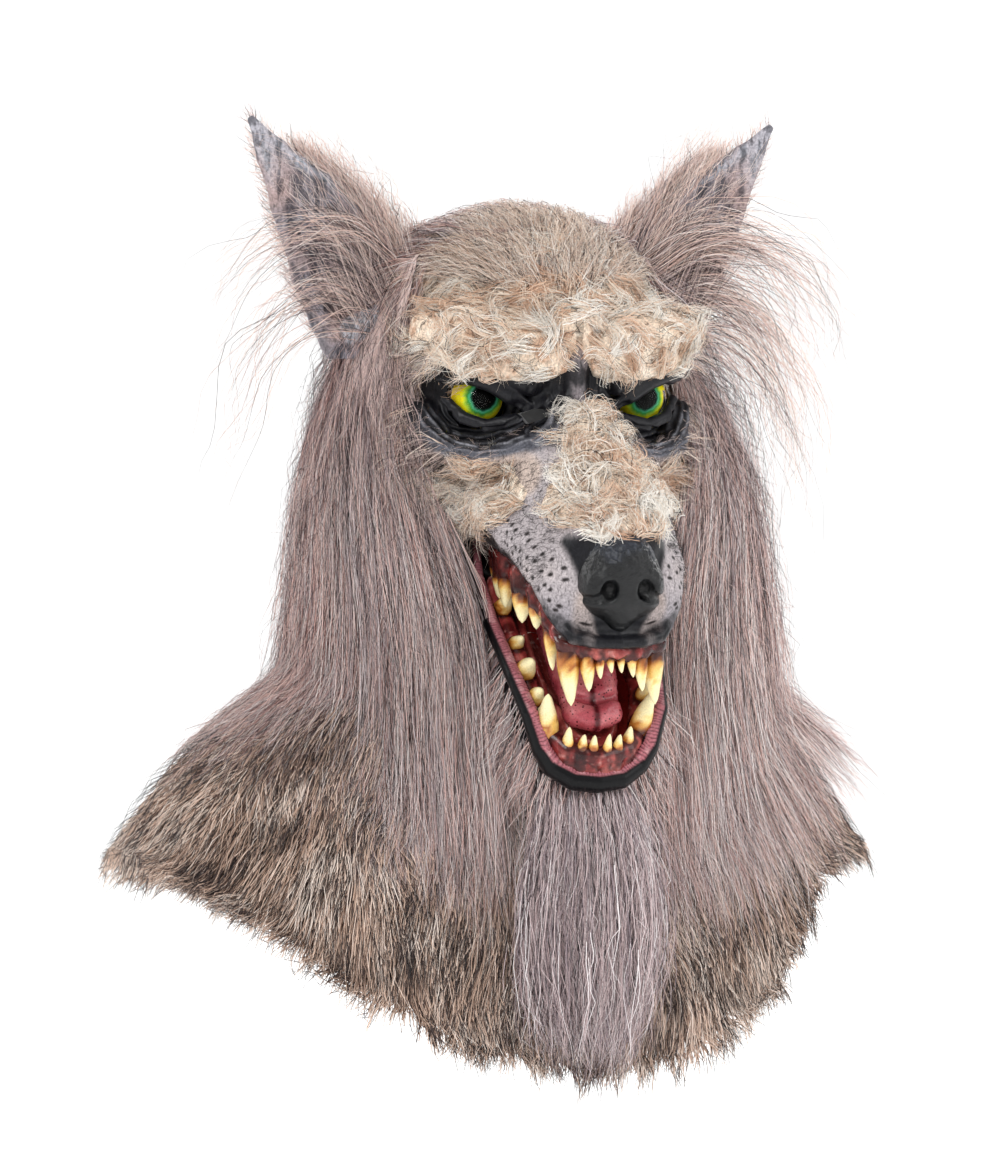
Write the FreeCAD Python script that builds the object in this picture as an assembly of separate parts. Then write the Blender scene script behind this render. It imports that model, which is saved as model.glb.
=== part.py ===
"""Over-the-head wolf mask: latex face, hinged lower jaw, teeth, hair and a fur shoulder bib.

Frame: origin at the centre of the wearer's head, +Z up, the wolf faces -Y, millimetres.
Names ending in left and right are the wearer's left (+X) and right (-X).
"""
import FreeCAD, Part
import math
import os

Vector = FreeCAD.Vector
Z_AXIS = Vector(0, 0, 1)
X_AXIS = Vector(1, 0, 0)
SIDES = (("right", -1), ("left", 1))

# ---- driving dimensions -------------------------------------------------------------
SKIN = 3.0                # latex thickness
GAP = 0.4                 # clearance between neighbouring pieces
FUR_PILE = 14.0           # thickness of the bib's fur cloth
LINING = 1.5              # thickness of the bib's lining
BIB_TURN = 5.0            # the bib sits turned this many degrees on the shoulders
BAND_THICKNESS = 1.5      # sewn tape inside the neck
BAND_HEIGHT = 18.0
PAD_THICKNESS = 8.0       # foam pads inside the head
WOOL_THICKNESS = 8.0      # wool over the crown

# head latex, each row: height, half width, depth in front, depth behind
HEAD_ROWS = (
    (-152, 76, 66, 84), (-125, 76, 76, 88), (-100, 79, 86, 92), (-70, 83, 92, 96),
    (-35, 87, 97, 100), (0, 88, 103, 103), (35, 88, 109, 104), (60, 84, 103, 100),
    (85, 72, 84, 88), (102, 50, 58, 66), (111, 22, 26, 34),
)
CROWN_FROM = 85           # above this height a grown head also grows upwards
HEAD_SQUARENESS = 2.2

# muzzle, each row: ridge (y, z), lip line (y, z), half width
MUZZLE_ROWS = (
    ((-72, 20), (-60, -86), 56), ((-112, -2), (-88, -86), 52), ((-145, -29), (-124, -95), 44),
    ((-170, -54), (-158, -108), 38), ((-183, -68), (-179, -128), 33),
)

NOSE_ROWS = (              # reach ahead of the muzzle's end, half width, half height, lift
    (0.4, 25, 26, 3), (8, 27, 28, 3), (16, 23, 23, 4), (21, 13, 13, 5), (23, 4, 4, 5),
)
NOSTRIL_RADIUS = 5.5

# jaw: hinge line, drop below the horizontal, and boat shape (u runs along the jaw)
JAW_HINGE = Vector(0, -62, -80)
JAW_DROP = 53.0
JAW_LENGTH = 164.0
JAW_HALF_WIDTH = 44.0
JAW_DEPTH = 24.0
JAW_CLEARANCE = 9.0       # between the jaw and the face, for the jaw's swing
BIB_CLEARANCE = 12.0      # between the jaw and the bib

# upper teeth row: hinge line, drop, and arch
UPPER_DROP = 24.0
UPPER_ARCH_LENGTH = 131.0
UPPER_ARCH_WIDTH = 30.0
LOWER_ARCH_LENGTH = 152.0
LOWER_ARCH_WIDTH = 33.0
GUM_WIDTH = 11.0
UPPER_GUM_SPAN = (-9.0, 16.0)     # lowest and highest level in the row's own frame
LOWER_GUM_SPAN = (-11.0, 0.0)
PALATE_SPAN = (-3.0, 16.0)
UPPER_ROW_START = 28.0            # where the upper gum begins, ahead of the hinge line
LOWER_ROW_START = 30.0
NECK_WIDTH = 3.4                  # half width of a cheek tooth across the row
UPPER_CHEEK_TEETH = (7, 9, 12, 11)        # heights from back to front
LOWER_CHEEK_TEETH = (6, 8, 10, 8)
UPPER_CHEEK_SPAN = (60, 92)               # along the row
LOWER_CHEEK_SPAN = (60, 98)
UPPER_CANINE_HEIGHT = 31.0
LOWER_CANINE_HEIGHT = 27.0
INCISOR_HEIGHT = 9.0

EYE_CENTRE = Vector(49, -80, 4)
EYE_RADIUS = 17.0
EYE_DOME = 1.6            # thickness of the clear dome
IRIS_PLANE = -84.0        # the painted eye back ends at this depth

EAR_ROWS = (              # centre x, y, z, half width, half thickness
    (92, 8, 58, 36, 17), (112, 8, 92, 34, 17), (136, 5, 128, 22, 11), (153, 2, 153, 9, 5),
    (162, -1, 167, 2, 1.5),
)
EAR_LEAN = 34.0           # degrees the ear leans outwards
EAR_SKIN = 4.0

BROW_WOOL = (Vector(48, -88, 42), (34, 20, 17))         # centre and radii
BRIDGE_WOOL = (Vector(0, -136, -22), (28, 42, 14))
BRIDGE_SLOPE = 38.0       # degrees the bridge falls towards the nose
EAR_TUFT = (Vector(88, 6, 104), (22, 22, 38))

# outer shapes of the soft pieces, rows as for the head
MANE_ROWS = (
    (82, 100, 50, 100), (40, 120, 74, 114), (0, 134, 88, 124), (-60, 148, 102, 134),
    (-120, 154, 110, 140), (-180, 160, 118, 150), (-240, 164, 134, 160), (-300, 150, 150, 162),
)
BIB_ROWS = (
    (-128, 88, 78, 96), (-165, 142, 84, 112), (-200, 192, 90, 124), (-235, 226, 106, 132),
    (-270, 248, 126, 138), (-320, 256, 145, 144), (-400, 258, 157, 148),
)
BIB_SQUARENESS = 2.3
FRONT_HEM = (             # the front panel's hem from the wearer's right to left: x, z
    (-262, -264), (-240, -276), (-195, -306), (-146, -346), (-75, -380), (0, -390),
    (66, -376), (118, -336), (150, -290), (190, -266), (262, -262),
)
LINING_RISE = 12.0        # the lining's hem is this far above the fur's
BACK_HEM = ((-262, -264), (-190, -300), (-95, -335), (0, -346), (95, -335), (190, -300), (262, -264))
FACE_WINDOW = (           # the wearer's left half of the gap in the mane that the face looks out of: x, z
    (0, 150), (84, 120), (92, 40), (88, -30), (66, -84), (55, -120), (52, -230), (50, -300), (40, -420),
)
BEARD_ROWS = (            # height, centre y, half width, half depth
    (-236, -112, 20, 12), (-262, -136, 36, 18), (-300, -154, 46, 20), (-345, -166, 40, 15),
    (-376, -170, 20, 8),
)


# ---- helpers ------------------------------------------------------------------------
def closed_curve(points):
    """One smooth closed edge through the points."""
    curve = Part.BSplineCurve()
    curve.interpolate(points, PeriodicFlag=True)
    return Part.Wire(curve.toShape())


def ring(height, half_width, front, back, squareness):
    """Closed horizontal section: wider or deeper in front and behind as given."""
    points = []
    count = 20
    for i in range(count):
        angle = 2 * math.pi * i / count
        c, s = math.cos(angle), math.sin(angle)
        depth = back if s > 0 else front
        x = half_width * math.copysign(abs(c) ** (2 / squareness), c)
        y = depth * math.copysign(abs(s) ** (2 / squareness), s)
        points.append(Vector(x, y, height))
    return closed_curve(points)


def rounded_body(rows, squareness, grow=0.0, lift_from=None):
    """Loft through horizontal rings; grow moves its wall outwards."""
    wires = []
    for height, half_width, front, back in rows:
        lift = grow if lift_from is not None and height > lift_from else 0
        wires.append(ring(height + lift, half_width + grow, front + grow, back + grow, squareness))
    return Part.makeLoft(wires, True, False)


def head(grow=0.0, foot=0.0):
    """Head shape, with a straight neck of length foot added below when asked."""
    shape = rounded_body(HEAD_ROWS, HEAD_SQUARENESS, grow, CROWN_FROM)
    if foot:
        height, half_width, front, back = HEAD_ROWS[0]
        base = Part.Face(ring(height, half_width + grow, front + grow, back + grow, HEAD_SQUARENESS))
        shape = shape.fuse(base.extrude(Vector(0, 0, -foot)))
    return shape


def muzzle_plane(row):
    """Centre, upward and forward directions and half height of one oval of the muzzle."""
    top = Vector(0, row[0][0], row[0][1])
    low = Vector(0, row[1][0], row[1][1])
    up = (top - low).normalize()
    return (top + low) * 0.5, up, X_AXIS.cross(up), (top - low).Length / 2


def muzzle(grow=0.0):
    """Loft of upright ovals from inside the face to the nose."""
    wires = []
    for row in MUZZLE_ROWS:
        centre, up, ahead, half_height = muzzle_plane(row)
        half_height += grow
        half_width = row[2]
        if row is MUZZLE_ROWS[-1]:
            centre += ahead * grow
        points = []
        for k in range(16):
            angle = 2 * math.pi * k / 16
            c, s = math.cos(angle), math.sin(angle)
            x = (half_width + grow) * math.copysign(abs(c) ** 0.8, c)
            rise = half_height * math.copysign(abs(s) ** 0.8, s)
            points.append(centre + X_AXIS * x + up * rise)
        wires.append(closed_curve(points))
    return Part.makeLoft(wires, True, False)


def side_prism(outline, near, far):
    """Extrude an outline of (x, z) points along Y from near to far."""
    points = [Vector(x, near, z) for x, z in outline]
    face = Part.Face(Part.makePolygon(points + points[:1]))
    return face.extrude(Vector(0, far - near, 0))


def arch_wire(half_width, length, height, start=0.0):
    """Horseshoe outline in a jaw's own frame: straight sides and an elliptic front."""
    straight = length - half_width * 1.35
    left, right = Vector(-half_width, -straight, height), Vector(half_width, -straight, height)
    ellipse = Part.Ellipse(Vector(0, -straight, height), length - straight, half_width)
    ellipse.Axis = Z_AXIS
    ellipse.XAxis = Vector(0, -1, 0)
    front = Part.ArcOfEllipse(ellipse, -math.pi / 2, math.pi / 2).toShape()
    back_left, back_right = Vector(-half_width, -start, height), Vector(half_width, -start, height)
    edges = [front, Part.makeLine(right, back_right), Part.makeLine(back_right, back_left)]
    edges.append(Part.makeLine(back_left, left))
    return Part.Wire(Part.__sortEdges__(edges))


def arch_solid(half_width, length, low, high, start=0.0, taper=0.0):
    """Solid between two horseshoe outlines; taper narrows the lower one."""
    lower = arch_wire(half_width - taper, length - taper, low, start)
    upper = arch_wire(half_width, length, high, start)
    return Part.makeLoft([lower, upper], True, True)


def place(shape, drop):
    """Move a shape from a jaw's own frame to its place, dropped about the hinge line."""
    moved = shape.copy()
    moved.rotate(Vector(), X_AXIS, drop)
    moved.translate(JAW_HINGE)
    return moved


def tooth(root, lean, length, radius_x, radius_y, sharp=0.12):
    """Tapering tooth from root towards +Z, bending along lean."""
    wires = []
    for k, share in enumerate((0.0, 0.35, 0.7, 1.0)):
        width = (1 - share) ** 0.7 * (1 - sharp) + sharp
        centre = root + Vector(lean.x * share ** 1.5, lean.y * share ** 1.5, length * share)
        points = []
        for i in range(8):
            angle = 2 * math.pi * i / 8
            offset = Vector(radius_x * math.cos(angle), radius_y * math.sin(angle), 0)
            points.append(centre + offset * width)
        wires.append(closed_curve(points))
    return Part.makeLoft(wires, True, False)


def arch_point(half_width, length, share):
    """Point on the horseshoe's front: share 0 is the middle, 1 the start of the straight side."""
    straight = length - half_width * 1.35
    angle = share * math.pi / 2
    return half_width * math.sin(angle), -(straight + (length - straight) * math.cos(angle))


def ellipsoid(centre, radii):
    ball = Part.makeSphere(1.0)
    matrix = FreeCAD.Matrix()
    matrix.scale(Vector(*radii))
    matrix.move(centre)
    return ball.transformGeometry(matrix)


def mirrored(shape):
    return shape.mirror(Vector(), X_AXIS)


def largest(shape):
    """The biggest solid of a cut shape, without its crumbs."""
    return max(shape.Solids, key=lambda solid: solid.Volume)


# ---- face latex ---------------------------------------------------------------------
def eye_ball(side, grow=0.0):
    centre = Vector(side * EYE_CENTRE.x, EYE_CENTRE.y, EYE_CENTRE.z)
    return Part.makeSphere(EYE_RADIUS + grow, centre)


def vision_slot(side, grow=0.0):
    """Slanted see-through slot in the dark inner corner of the eye."""
    slot = Part.makeBox(17 + 2 * grow, 30, 6 + 2 * grow)
    slot.translate(Vector(-8.5 - grow, -15, -3 - grow))
    slot.rotate(Vector(), Vector(0, 1, 0), side * 20)
    slot.translate(Vector(side * 22, -105, -4))
    return slot


def make_face(outer, inner):
    face = outer.cut(inner)
    for _, side in SIDES:
        face = face.cut(eye_ball(side, GAP)).cut(vision_slot(side, GAP))
    return largest(face)


def make_eye(side):
    """Clear dome and the painted back that sits inside it."""
    front = Part.makeBox(60, 60, 60, Vector(side * EYE_CENTRE.x - 30, IRIS_PLANE - 60, -26))
    dome = eye_ball(side).cut(eye_ball(side, -EYE_DOME)).common(front)
    back = eye_ball(side, -EYE_DOME - 0.1).common(front)
    shelf = Part.makeBox(60, 60, 60, Vector(side * EYE_CENTRE.x - 30, IRIS_PLANE - 64, -26))
    return dome, back.cut(shelf)


def make_vision_mesh(side, outer, inner):
    """Thin gauze patch in the slot, flush with the latex."""
    return largest(vision_slot(side).common(outer).cut(inner))


def make_nose():
    """Broad rounded nose pad with two nostrils, seated flat on the muzzle's end."""
    centre, up, ahead, _ = muzzle_plane(MUZZLE_ROWS[-1])
    wires = []
    for reach, half_width, half_height, lift in NOSE_ROWS:
        points = []
        for k in range(12):
            angle = 2 * math.pi * k / 12
            rise = lift + half_height * math.sin(angle)
            points.append(centre + ahead * reach + up * rise + X_AXIS * half_width * math.cos(angle))
        wires.append(closed_curve(points))
    pad = Part.makeLoft(wires, True, False)
    for _, side in SIDES:
        mouth = centre + ahead * 30 + X_AXIS * side * 13 - up * 2
        pad = pad.cut(Part.makeCylinder(NOSTRIL_RADIUS, 20, mouth, Vector(-side * 0.2, 1, 0.1)))
    return largest(pad)


def make_muzzle_foam():
    """Foam core that keeps the muzzle in shape, behind the nose."""
    window = Part.makeBox(120, 48, 160, Vector(-60, -173, -150))
    return largest(muzzle(-SKIN - 1.0).common(window))


def make_pads():
    """Forehead and crown foam pads glued inside the latex."""
    liner = head(-SKIN - GAP).cut(head(-SKIN - GAP - PAD_THICKNESS))
    forehead = liner.common(Part.makeBox(90, 60, 34, Vector(-45, -125, 34)))
    crown = liner.common(Part.makeBox(70, 70, 60, Vector(-35, -30, 80)))
    return largest(forehead), largest(crown)


# ---- ears ---------------------------------------------------------------------------
def ear_section(x, y, z, half_width, half_depth, inset):
    """Crescent section, open to the front, leaning outwards with the ear."""
    across = Vector(math.cos(math.radians(EAR_LEAN)), 0, -math.sin(math.radians(EAR_LEAN)))
    centre = Vector(x, y, z)
    ends = [centre - across * half_width, centre + across * half_width]
    back = centre + Vector(0, half_depth, 0)
    front = back + Vector(0, -inset, 0)
    arcs = [Part.Arc(ends[0], back, ends[1]).toShape(), Part.Arc(ends[1], front, ends[0]).toShape()]
    return Part.Wire(arcs)


def make_ear(clear_of):
    sections = []
    for x, y, z, half_width, half_depth in EAR_ROWS:
        inset = min(EAR_SKIN, half_depth * 0.8)
        sections.append(ear_section(x, y, z, half_width, half_depth, inset))
    return largest(Part.makeLoft(sections, True, True).cut(clear_of))


# ---- mouth --------------------------------------------------------------------------
def make_gum(half_width, length, start, span, face_clear, drop):
    """Horseshoe gum under the muzzle or on the jaw."""
    low, high = span
    gum = arch_solid(half_width, length, low, high, start)
    hollow = arch_solid(half_width - GUM_WIDTH, length - GUM_WIDTH, low - 1, high + 1, start - 1)
    return largest(place(gum.cut(hollow), drop).cut(face_clear))


def cheek_teeth(side, half_width, span, heights, direction):
    """Row of blade-like cheek teeth along one straight side of an arch."""
    first, last = span
    teeth = []
    for k, height in enumerate(heights):
        along = first + (last - first) * k / (len(heights) - 1)
        root = Vector(side * (half_width - GUM_WIDTH / 2), -along, 0)
        piece = tooth(root, Vector(0, 2, 0), height, NECK_WIDTH, 5.4, 0.35)
        teeth.append(piece if direction > 0 else upside_down(piece))
    return teeth


def upside_down(shape):
    return shape.mirror(Vector(), Z_AXIS)


def incisors(half_width, length, direction):
    """Six front teeth, the outer ones larger."""
    teeth = []
    for k in range(6):
        share = (k - 2.5) / 2.5
        x, y = arch_point(half_width - GUM_WIDTH / 2, length - GUM_WIDTH / 2, share * 0.42)
        size = 1.0 + 0.35 * abs(share)
        piece = tooth(Vector(x, y, 0), Vector(0, -1, 0), INCISOR_HEIGHT * size, 2.1 * size, 2.0 * size, 0.4)
        teeth.append(piece if direction > 0 else upside_down(piece))
    return teeth


def canine(side, half_width, length, height, lean, direction):
    x, y = arch_point(half_width - GUM_WIDTH / 2, length - GUM_WIDTH / 2, 0.74)
    piece = tooth(Vector(side * x, y, 0), Vector(side * lean.x, lean.y, 0), height, 4.8, 5.4, 0.14)
    return piece if direction > 0 else upside_down(piece)


def group(shapes):
    return Part.makeCompound([solid for shape in shapes for solid in shape.Solids])


def make_upper_mouth(clear_of):
    """Gum and teeth that hang under the muzzle."""
    parts = {}
    width, length = UPPER_ARCH_WIDTH, UPPER_ARCH_LENGTH
    parts["upper_gum"] = make_gum(width, length, UPPER_ROW_START, UPPER_GUM_SPAN, clear_of, UPPER_DROP)
    root = Vector(0, 0, UPPER_GUM_SPAN[0] - GAP)
    rows = {"upper_incisors": incisors(width, length, -1)}
    for name, side in SIDES:
        rows["upper_canine_" + name] = [canine(side, width, length, UPPER_CANINE_HEIGHT, Vector(1, 5), -1)]
        rows["upper_cheek_teeth_" + name] = cheek_teeth(side, width, UPPER_CHEEK_SPAN, UPPER_CHEEK_TEETH, -1)
    for name, teeth in rows.items():
        moved = []
        for piece in teeth:
            piece.translate(root)
            moved.append(place(piece, UPPER_DROP))
        parts[name] = group(moved)
    inner_width, inner_length = width - GUM_WIDTH - GAP, length - GUM_WIDTH - GAP
    palate = arch_solid(inner_width, inner_length, PALATE_SPAN[0], PALATE_SPAN[1], UPPER_ROW_START + 2)
    parts["palate"] = largest(place(palate, UPPER_DROP).cut(clear_of))
    return parts


def make_jaw(face_clear):
    """Lower jaw: latex boat, gum, teeth and tongue."""
    parts = {}
    boat = arch_solid(JAW_HALF_WIDTH, JAW_LENGTH, -JAW_DEPTH, 0, 0, 12)
    hollow = arch_solid(JAW_HALF_WIDTH - SKIN, JAW_LENGTH - SKIN, SKIN - JAW_DEPTH, 1, -5, 12)
    parts["jaw_latex"] = largest(place(boat.cut(hollow), JAW_DROP).cut(face_clear))
    width, length = LOWER_ARCH_WIDTH, LOWER_ARCH_LENGTH
    parts["lower_gum"] = make_gum(width, length, LOWER_ROW_START, LOWER_GUM_SPAN, face_clear, JAW_DROP)
    rows = {"lower_incisors": incisors(width, length, 1)}
    for name, side in SIDES:
        rows["lower_canine_" + name] = [canine(side, width, length, LOWER_CANINE_HEIGHT, Vector(2, 7), 1)]
        rows["lower_cheek_teeth_" + name] = cheek_teeth(side, width, LOWER_CHEEK_SPAN, LOWER_CHEEK_TEETH, 1)
    for name, teeth in rows.items():
        for piece in teeth:
            piece.translate(Vector(0, 0, GAP))
        parts[name] = group([place(piece, JAW_DROP) for piece in teeth])
    parts["tongue"] = make_tongue(face_clear)
    return parts


def make_tongue(face_clear):
    """Thick tongue along the jaw's floor, narrowing to its tip."""
    wires = []
    for along, half_width, half_height, height in (
        (46, 17, 8, -8), (80, 18, 8, -6), (112, 17, 7, -4), (129, 12, 5, -2), (135, 5, 2.5, -2),
    ):
        points = []
        for k in range(12):
            angle = 2 * math.pi * k / 12
            rise = height + half_height * math.sin(angle)
            points.append(Vector(half_width * math.cos(angle), -along, rise))
        wires.append(closed_curve(points))
    return largest(place(Part.makeLoft(wires, True, False), JAW_DROP).cut(face_clear))


# ---- hair, fur and bib --------------------------------------------------------------
def turned(shape):
    moved = shape.copy()
    moved.rotate(Vector(), Z_AXIS, BIB_TURN)
    return moved


def bib_body(grow=0.0):
    """Outer shape of the bib; grow also lifts or lowers its top."""
    return turned(rounded_body(BIB_ROWS, BIB_SQUARENESS, grow, BIB_ROWS[0][0] - 1))


def hem_prism(hem, near, far):
    """Everything above the hem line, between two depths."""
    outline = [(hem[0][0] - 20, -100), (hem[0][0] - 20, hem[0][1])] + list(hem)
    outline += [(hem[-1][0] + 20, hem[-1][1]), (hem[-1][0] + 20, -100)]
    return turned(side_prism(outline, near, far))


def make_bib():
    """Front and back fur panels meeting at the shoulder seams, and one lining."""
    neck = head(GAP, 300)
    fur = bib_body().cut(bib_body(-FUR_PILE)).cut(neck)
    front = fur.common(hem_prism(FRONT_HEM, -260, -GAP / 2))
    back = fur.common(hem_prism(BACK_HEM, GAP / 2, 260))
    lining = bib_body(-FUR_PILE - GAP).cut(bib_body(-FUR_PILE - GAP - LINING)).cut(neck)
    raised_front = [(x, z + LINING_RISE) for x, z in FRONT_HEM]
    raised_back = [(x, z + LINING_RISE) for x, z in BACK_HEM]
    lining = lining.common(hem_prism(raised_front, -260, 0).fuse(hem_prism(raised_back, 0, 260)))
    return largest(front), largest(back), largest(lining)


def make_neck_band():
    """Fabric tape inside the neck, where the latex and the bib are sewn together."""
    band = head(-SKIN - GAP).cut(head(-SKIN - GAP - BAND_THICKNESS, 5))
    foot = Vector(-150, -150, HEAD_ROWS[0][0] + 1)
    return largest(band.common(Part.makeBox(300, 300, BAND_HEIGHT, foot)))


def make_manes(clear_of):
    """Long hair at both sides of the face and down the back."""
    outer = rounded_body(MANE_ROWS, HEAD_SQUARENESS)
    window = [(x, z) for x, z in FACE_WINDOW] + [(-x, z) for x, z in reversed(FACE_WINDOW[1:])]
    hair = outer.cut(side_prism(window, -300, -30))
    for shape in clear_of:
        hair = hair.cut(shape)
    manes = {}
    half = Part.makeBox(300, 340, 700, Vector(0, -300, -450))
    for name, side in SIDES:
        part_box = half if side > 0 else mirrored(half)
        manes["mane_" + name] = largest(hair.common(part_box))
    manes["mane_back"] = largest(hair.common(Part.makeBox(600, 300, 700, Vector(-300, 40 + GAP, -450))))
    return manes


def make_beard(clear_of):
    wires = []
    for height, y, half_width, half_depth in BEARD_ROWS:
        points = []
        for k in range(12):
            angle = 2 * math.pi * k / 12
            points.append(Vector(half_width * math.cos(angle), y + half_depth * math.sin(angle), height))
        wires.append(closed_curve(points))
    return largest(Part.makeLoft(wires, True, False).cut(clear_of))


def make_wool(clear_of, ears):
    """Cream wool glued on the brows, the muzzle's bridge and the crown."""
    wool = {}
    brow = ellipsoid(*BROW_WOOL)
    wool["brow_wool_left"] = largest(brow.cut(clear_of))
    wool["brow_wool_right"] = mirrored(wool["brow_wool_left"])
    ridge = ellipsoid(*BRIDGE_WOOL)
    ridge.rotate(BRIDGE_WOOL[0], X_AXIS, BRIDGE_SLOPE)
    wool["muzzle_wool"] = largest(ridge.cut(clear_of))
    cap = head(WOOL_THICKNESS).cut(clear_of).cut(ears)
    wool["crown_wool"] = largest(cap.common(Part.makeBox(132, 170, 80, Vector(-66, -112, 66))))
    return wool


def make_ear_tuft(side, clear_of):
    """Hair glued along the inner edge of the ear."""
    tuft = ellipsoid(*EAR_TUFT)
    if side < 0:
        tuft = mirrored(tuft)
    for shape in clear_of:
        tuft = tuft.cut(shape)
    return largest(tuft)


# ---- assembly -----------------------------------------------------------------------
def build():
    parts = {}
    outer = head().fuse(muzzle())
    inner = head(-SKIN, 5).fuse(muzzle(-SKIN))
    seat = head(GAP, 5).fuse(muzzle(GAP))
    swing_room = head(JAW_CLEARANCE, 60).fuse(muzzle(GAP)).fuse(bib_body(BIB_CLEARANCE))

    parts["face_latex"] = make_face(outer, inner)
    for name, side in SIDES:
        parts["eye_dome_" + name], parts["eye_back_" + name] = make_eye(side)
        parts["vision_mesh_" + name] = make_vision_mesh(side, outer, inner)
    parts["nose_pad"] = make_nose()
    parts["muzzle_foam"] = make_muzzle_foam()
    parts["forehead_pad"], parts["crown_pad"] = make_pads()
    parts["ear_left"] = make_ear(seat)
    parts["ear_right"] = mirrored(parts["ear_left"])
    parts.update(make_upper_mouth(seat.fuse(parts["nose_pad"])))
    parts.update(make_jaw(swing_room))

    parts["bib_front"], parts["bib_back"], parts["bib_lining"] = make_bib()
    parts["neck_band"] = make_neck_band()
    ears = parts["ear_left"].fuse(parts["ear_right"])
    parts.update(make_wool(seat, ears))
    parts.update(make_manes([seat, bib_body(GAP), ears, parts["crown_wool"]]))
    parts["beard"] = make_beard(bib_body(GAP))
    for name, side in SIDES:
        neighbours = [seat, parts["ear_" + name], parts["crown_wool"], parts["mane_" + name]]
        parts["ear_tuft_" + name] = make_ear_tuft(side, neighbours)
    return parts


os.makedirs("parts", exist_ok=True)
for node, shape in build().items():
    shape.exportStep(os.path.join("parts", node + ".step"))
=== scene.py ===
"""The look of the wolf mask: sculpted latex, teeth, eyes, hair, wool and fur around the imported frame.

Sculpting is done in millimetres and turned into metres when a mesh is made.
+Z up, the wolf faces -Y, +X is the wearer's left.
"""

import bpy
import math
import numpy as np
import openvdb
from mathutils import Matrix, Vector


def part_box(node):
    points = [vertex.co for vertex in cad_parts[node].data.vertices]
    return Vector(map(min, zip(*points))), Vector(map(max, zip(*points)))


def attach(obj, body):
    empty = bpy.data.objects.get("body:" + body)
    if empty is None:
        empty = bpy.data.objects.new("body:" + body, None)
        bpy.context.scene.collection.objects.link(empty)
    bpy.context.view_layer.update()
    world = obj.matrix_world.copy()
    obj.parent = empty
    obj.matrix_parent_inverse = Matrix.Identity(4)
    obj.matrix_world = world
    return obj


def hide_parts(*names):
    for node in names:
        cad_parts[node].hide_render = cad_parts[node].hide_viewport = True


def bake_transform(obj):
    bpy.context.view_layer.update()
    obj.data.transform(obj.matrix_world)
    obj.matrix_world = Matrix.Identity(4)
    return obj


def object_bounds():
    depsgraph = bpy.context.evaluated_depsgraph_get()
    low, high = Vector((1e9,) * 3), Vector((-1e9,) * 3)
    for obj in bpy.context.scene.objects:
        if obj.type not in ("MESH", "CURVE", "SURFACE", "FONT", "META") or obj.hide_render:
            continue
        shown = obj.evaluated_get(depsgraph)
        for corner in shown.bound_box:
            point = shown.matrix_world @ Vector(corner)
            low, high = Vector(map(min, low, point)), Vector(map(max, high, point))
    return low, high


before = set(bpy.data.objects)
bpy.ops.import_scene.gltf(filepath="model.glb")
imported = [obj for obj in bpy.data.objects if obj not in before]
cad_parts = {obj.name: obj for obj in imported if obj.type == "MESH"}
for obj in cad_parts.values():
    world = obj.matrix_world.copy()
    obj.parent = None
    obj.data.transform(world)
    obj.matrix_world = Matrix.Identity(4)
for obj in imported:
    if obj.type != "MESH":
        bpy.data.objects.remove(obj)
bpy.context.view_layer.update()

MM = 0.001
HEAD, JAW = "head", "jaw"
SIDES = (("right", -1), ("left", 1))
EYE = np.array((49.0, -80.0, 4.0))
EYE_RADIUS = 17.0

# lines that the sculpted pieces share, wearer's left half, millimetres
UPPER_LIP = ((47, -60, -77), (47, -80, -74), (46, -96, -75), (44, -126, -82), (42, -150, -89),
             (39, -168, -99),
             (36, -175, -110), (31, -181, -121), (25, -185, -127), (13, -189, -130), (0, -190, -130))
LOWER_LIP = ((47, -60, -78), (50, -75, -99), (49, -98, -125), (46, -131, -153), (42, -147, -172),
             (35.5, -149, -193), (29, -149, -203), (15, -153, -210), (0, -154, -212))
UPPER_GUM = ((33, -68, -86), (34, -93, -92), (33, -132, -102), (31, -151, -113), (27, -167, -126),
             (21, -177, -133), (11, -182, -135), (0, -183, -135))
LOWER_GUM = ((36, -72, -102), (35, -88, -122), (34, -110, -141), (32, -130, -163), (27, -143, -184),
             (18, -151, -193), (0, -155, -197))


# ---- small maths --------------------------------------------------------------------
def srgb(red, green, blue):
    """Linear colour from the usual 0 to 255 values."""
    return tuple((v / 255 / 12.92) if v <= 10 else ((v / 255 + 0.055) / 1.055) ** 2.4
                 for v in (red, green, blue))


def smooth(value, low, high):
    """Smooth step from 0 at low to 1 at high."""
    t = np.clip((value - low) / (high - low), 0, 1)
    return t * t * (3 - 2 * t)


LATTICE_SIZE = 32
LATTICE = np.random.RandomState(7).rand(*(LATTICE_SIZE,) * 3).astype(np.float32)


def noise(points, size, seed=0):
    """Smooth value noise from 0 to 1; size is the width of its lumps."""
    p = points / size + seed * 7.31
    cell = np.floor(p).astype(int)
    f = p - cell
    f = f * f * (3 - 2 * f)
    total = 0
    for dx in (0, 1):
        for dy in (0, 1):
            for dz in (0, 1):
                weight = ((f[:, 0] if dx else 1 - f[:, 0]) * (f[:, 1] if dy else 1 - f[:, 1])
                          * (f[:, 2] if dz else 1 - f[:, 2]))
                x, y, z = ((cell + (dx, dy, dz)) % LATTICE_SIZE).T
                total = total + weight * LATTICE[x, y, z]
    return total


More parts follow.
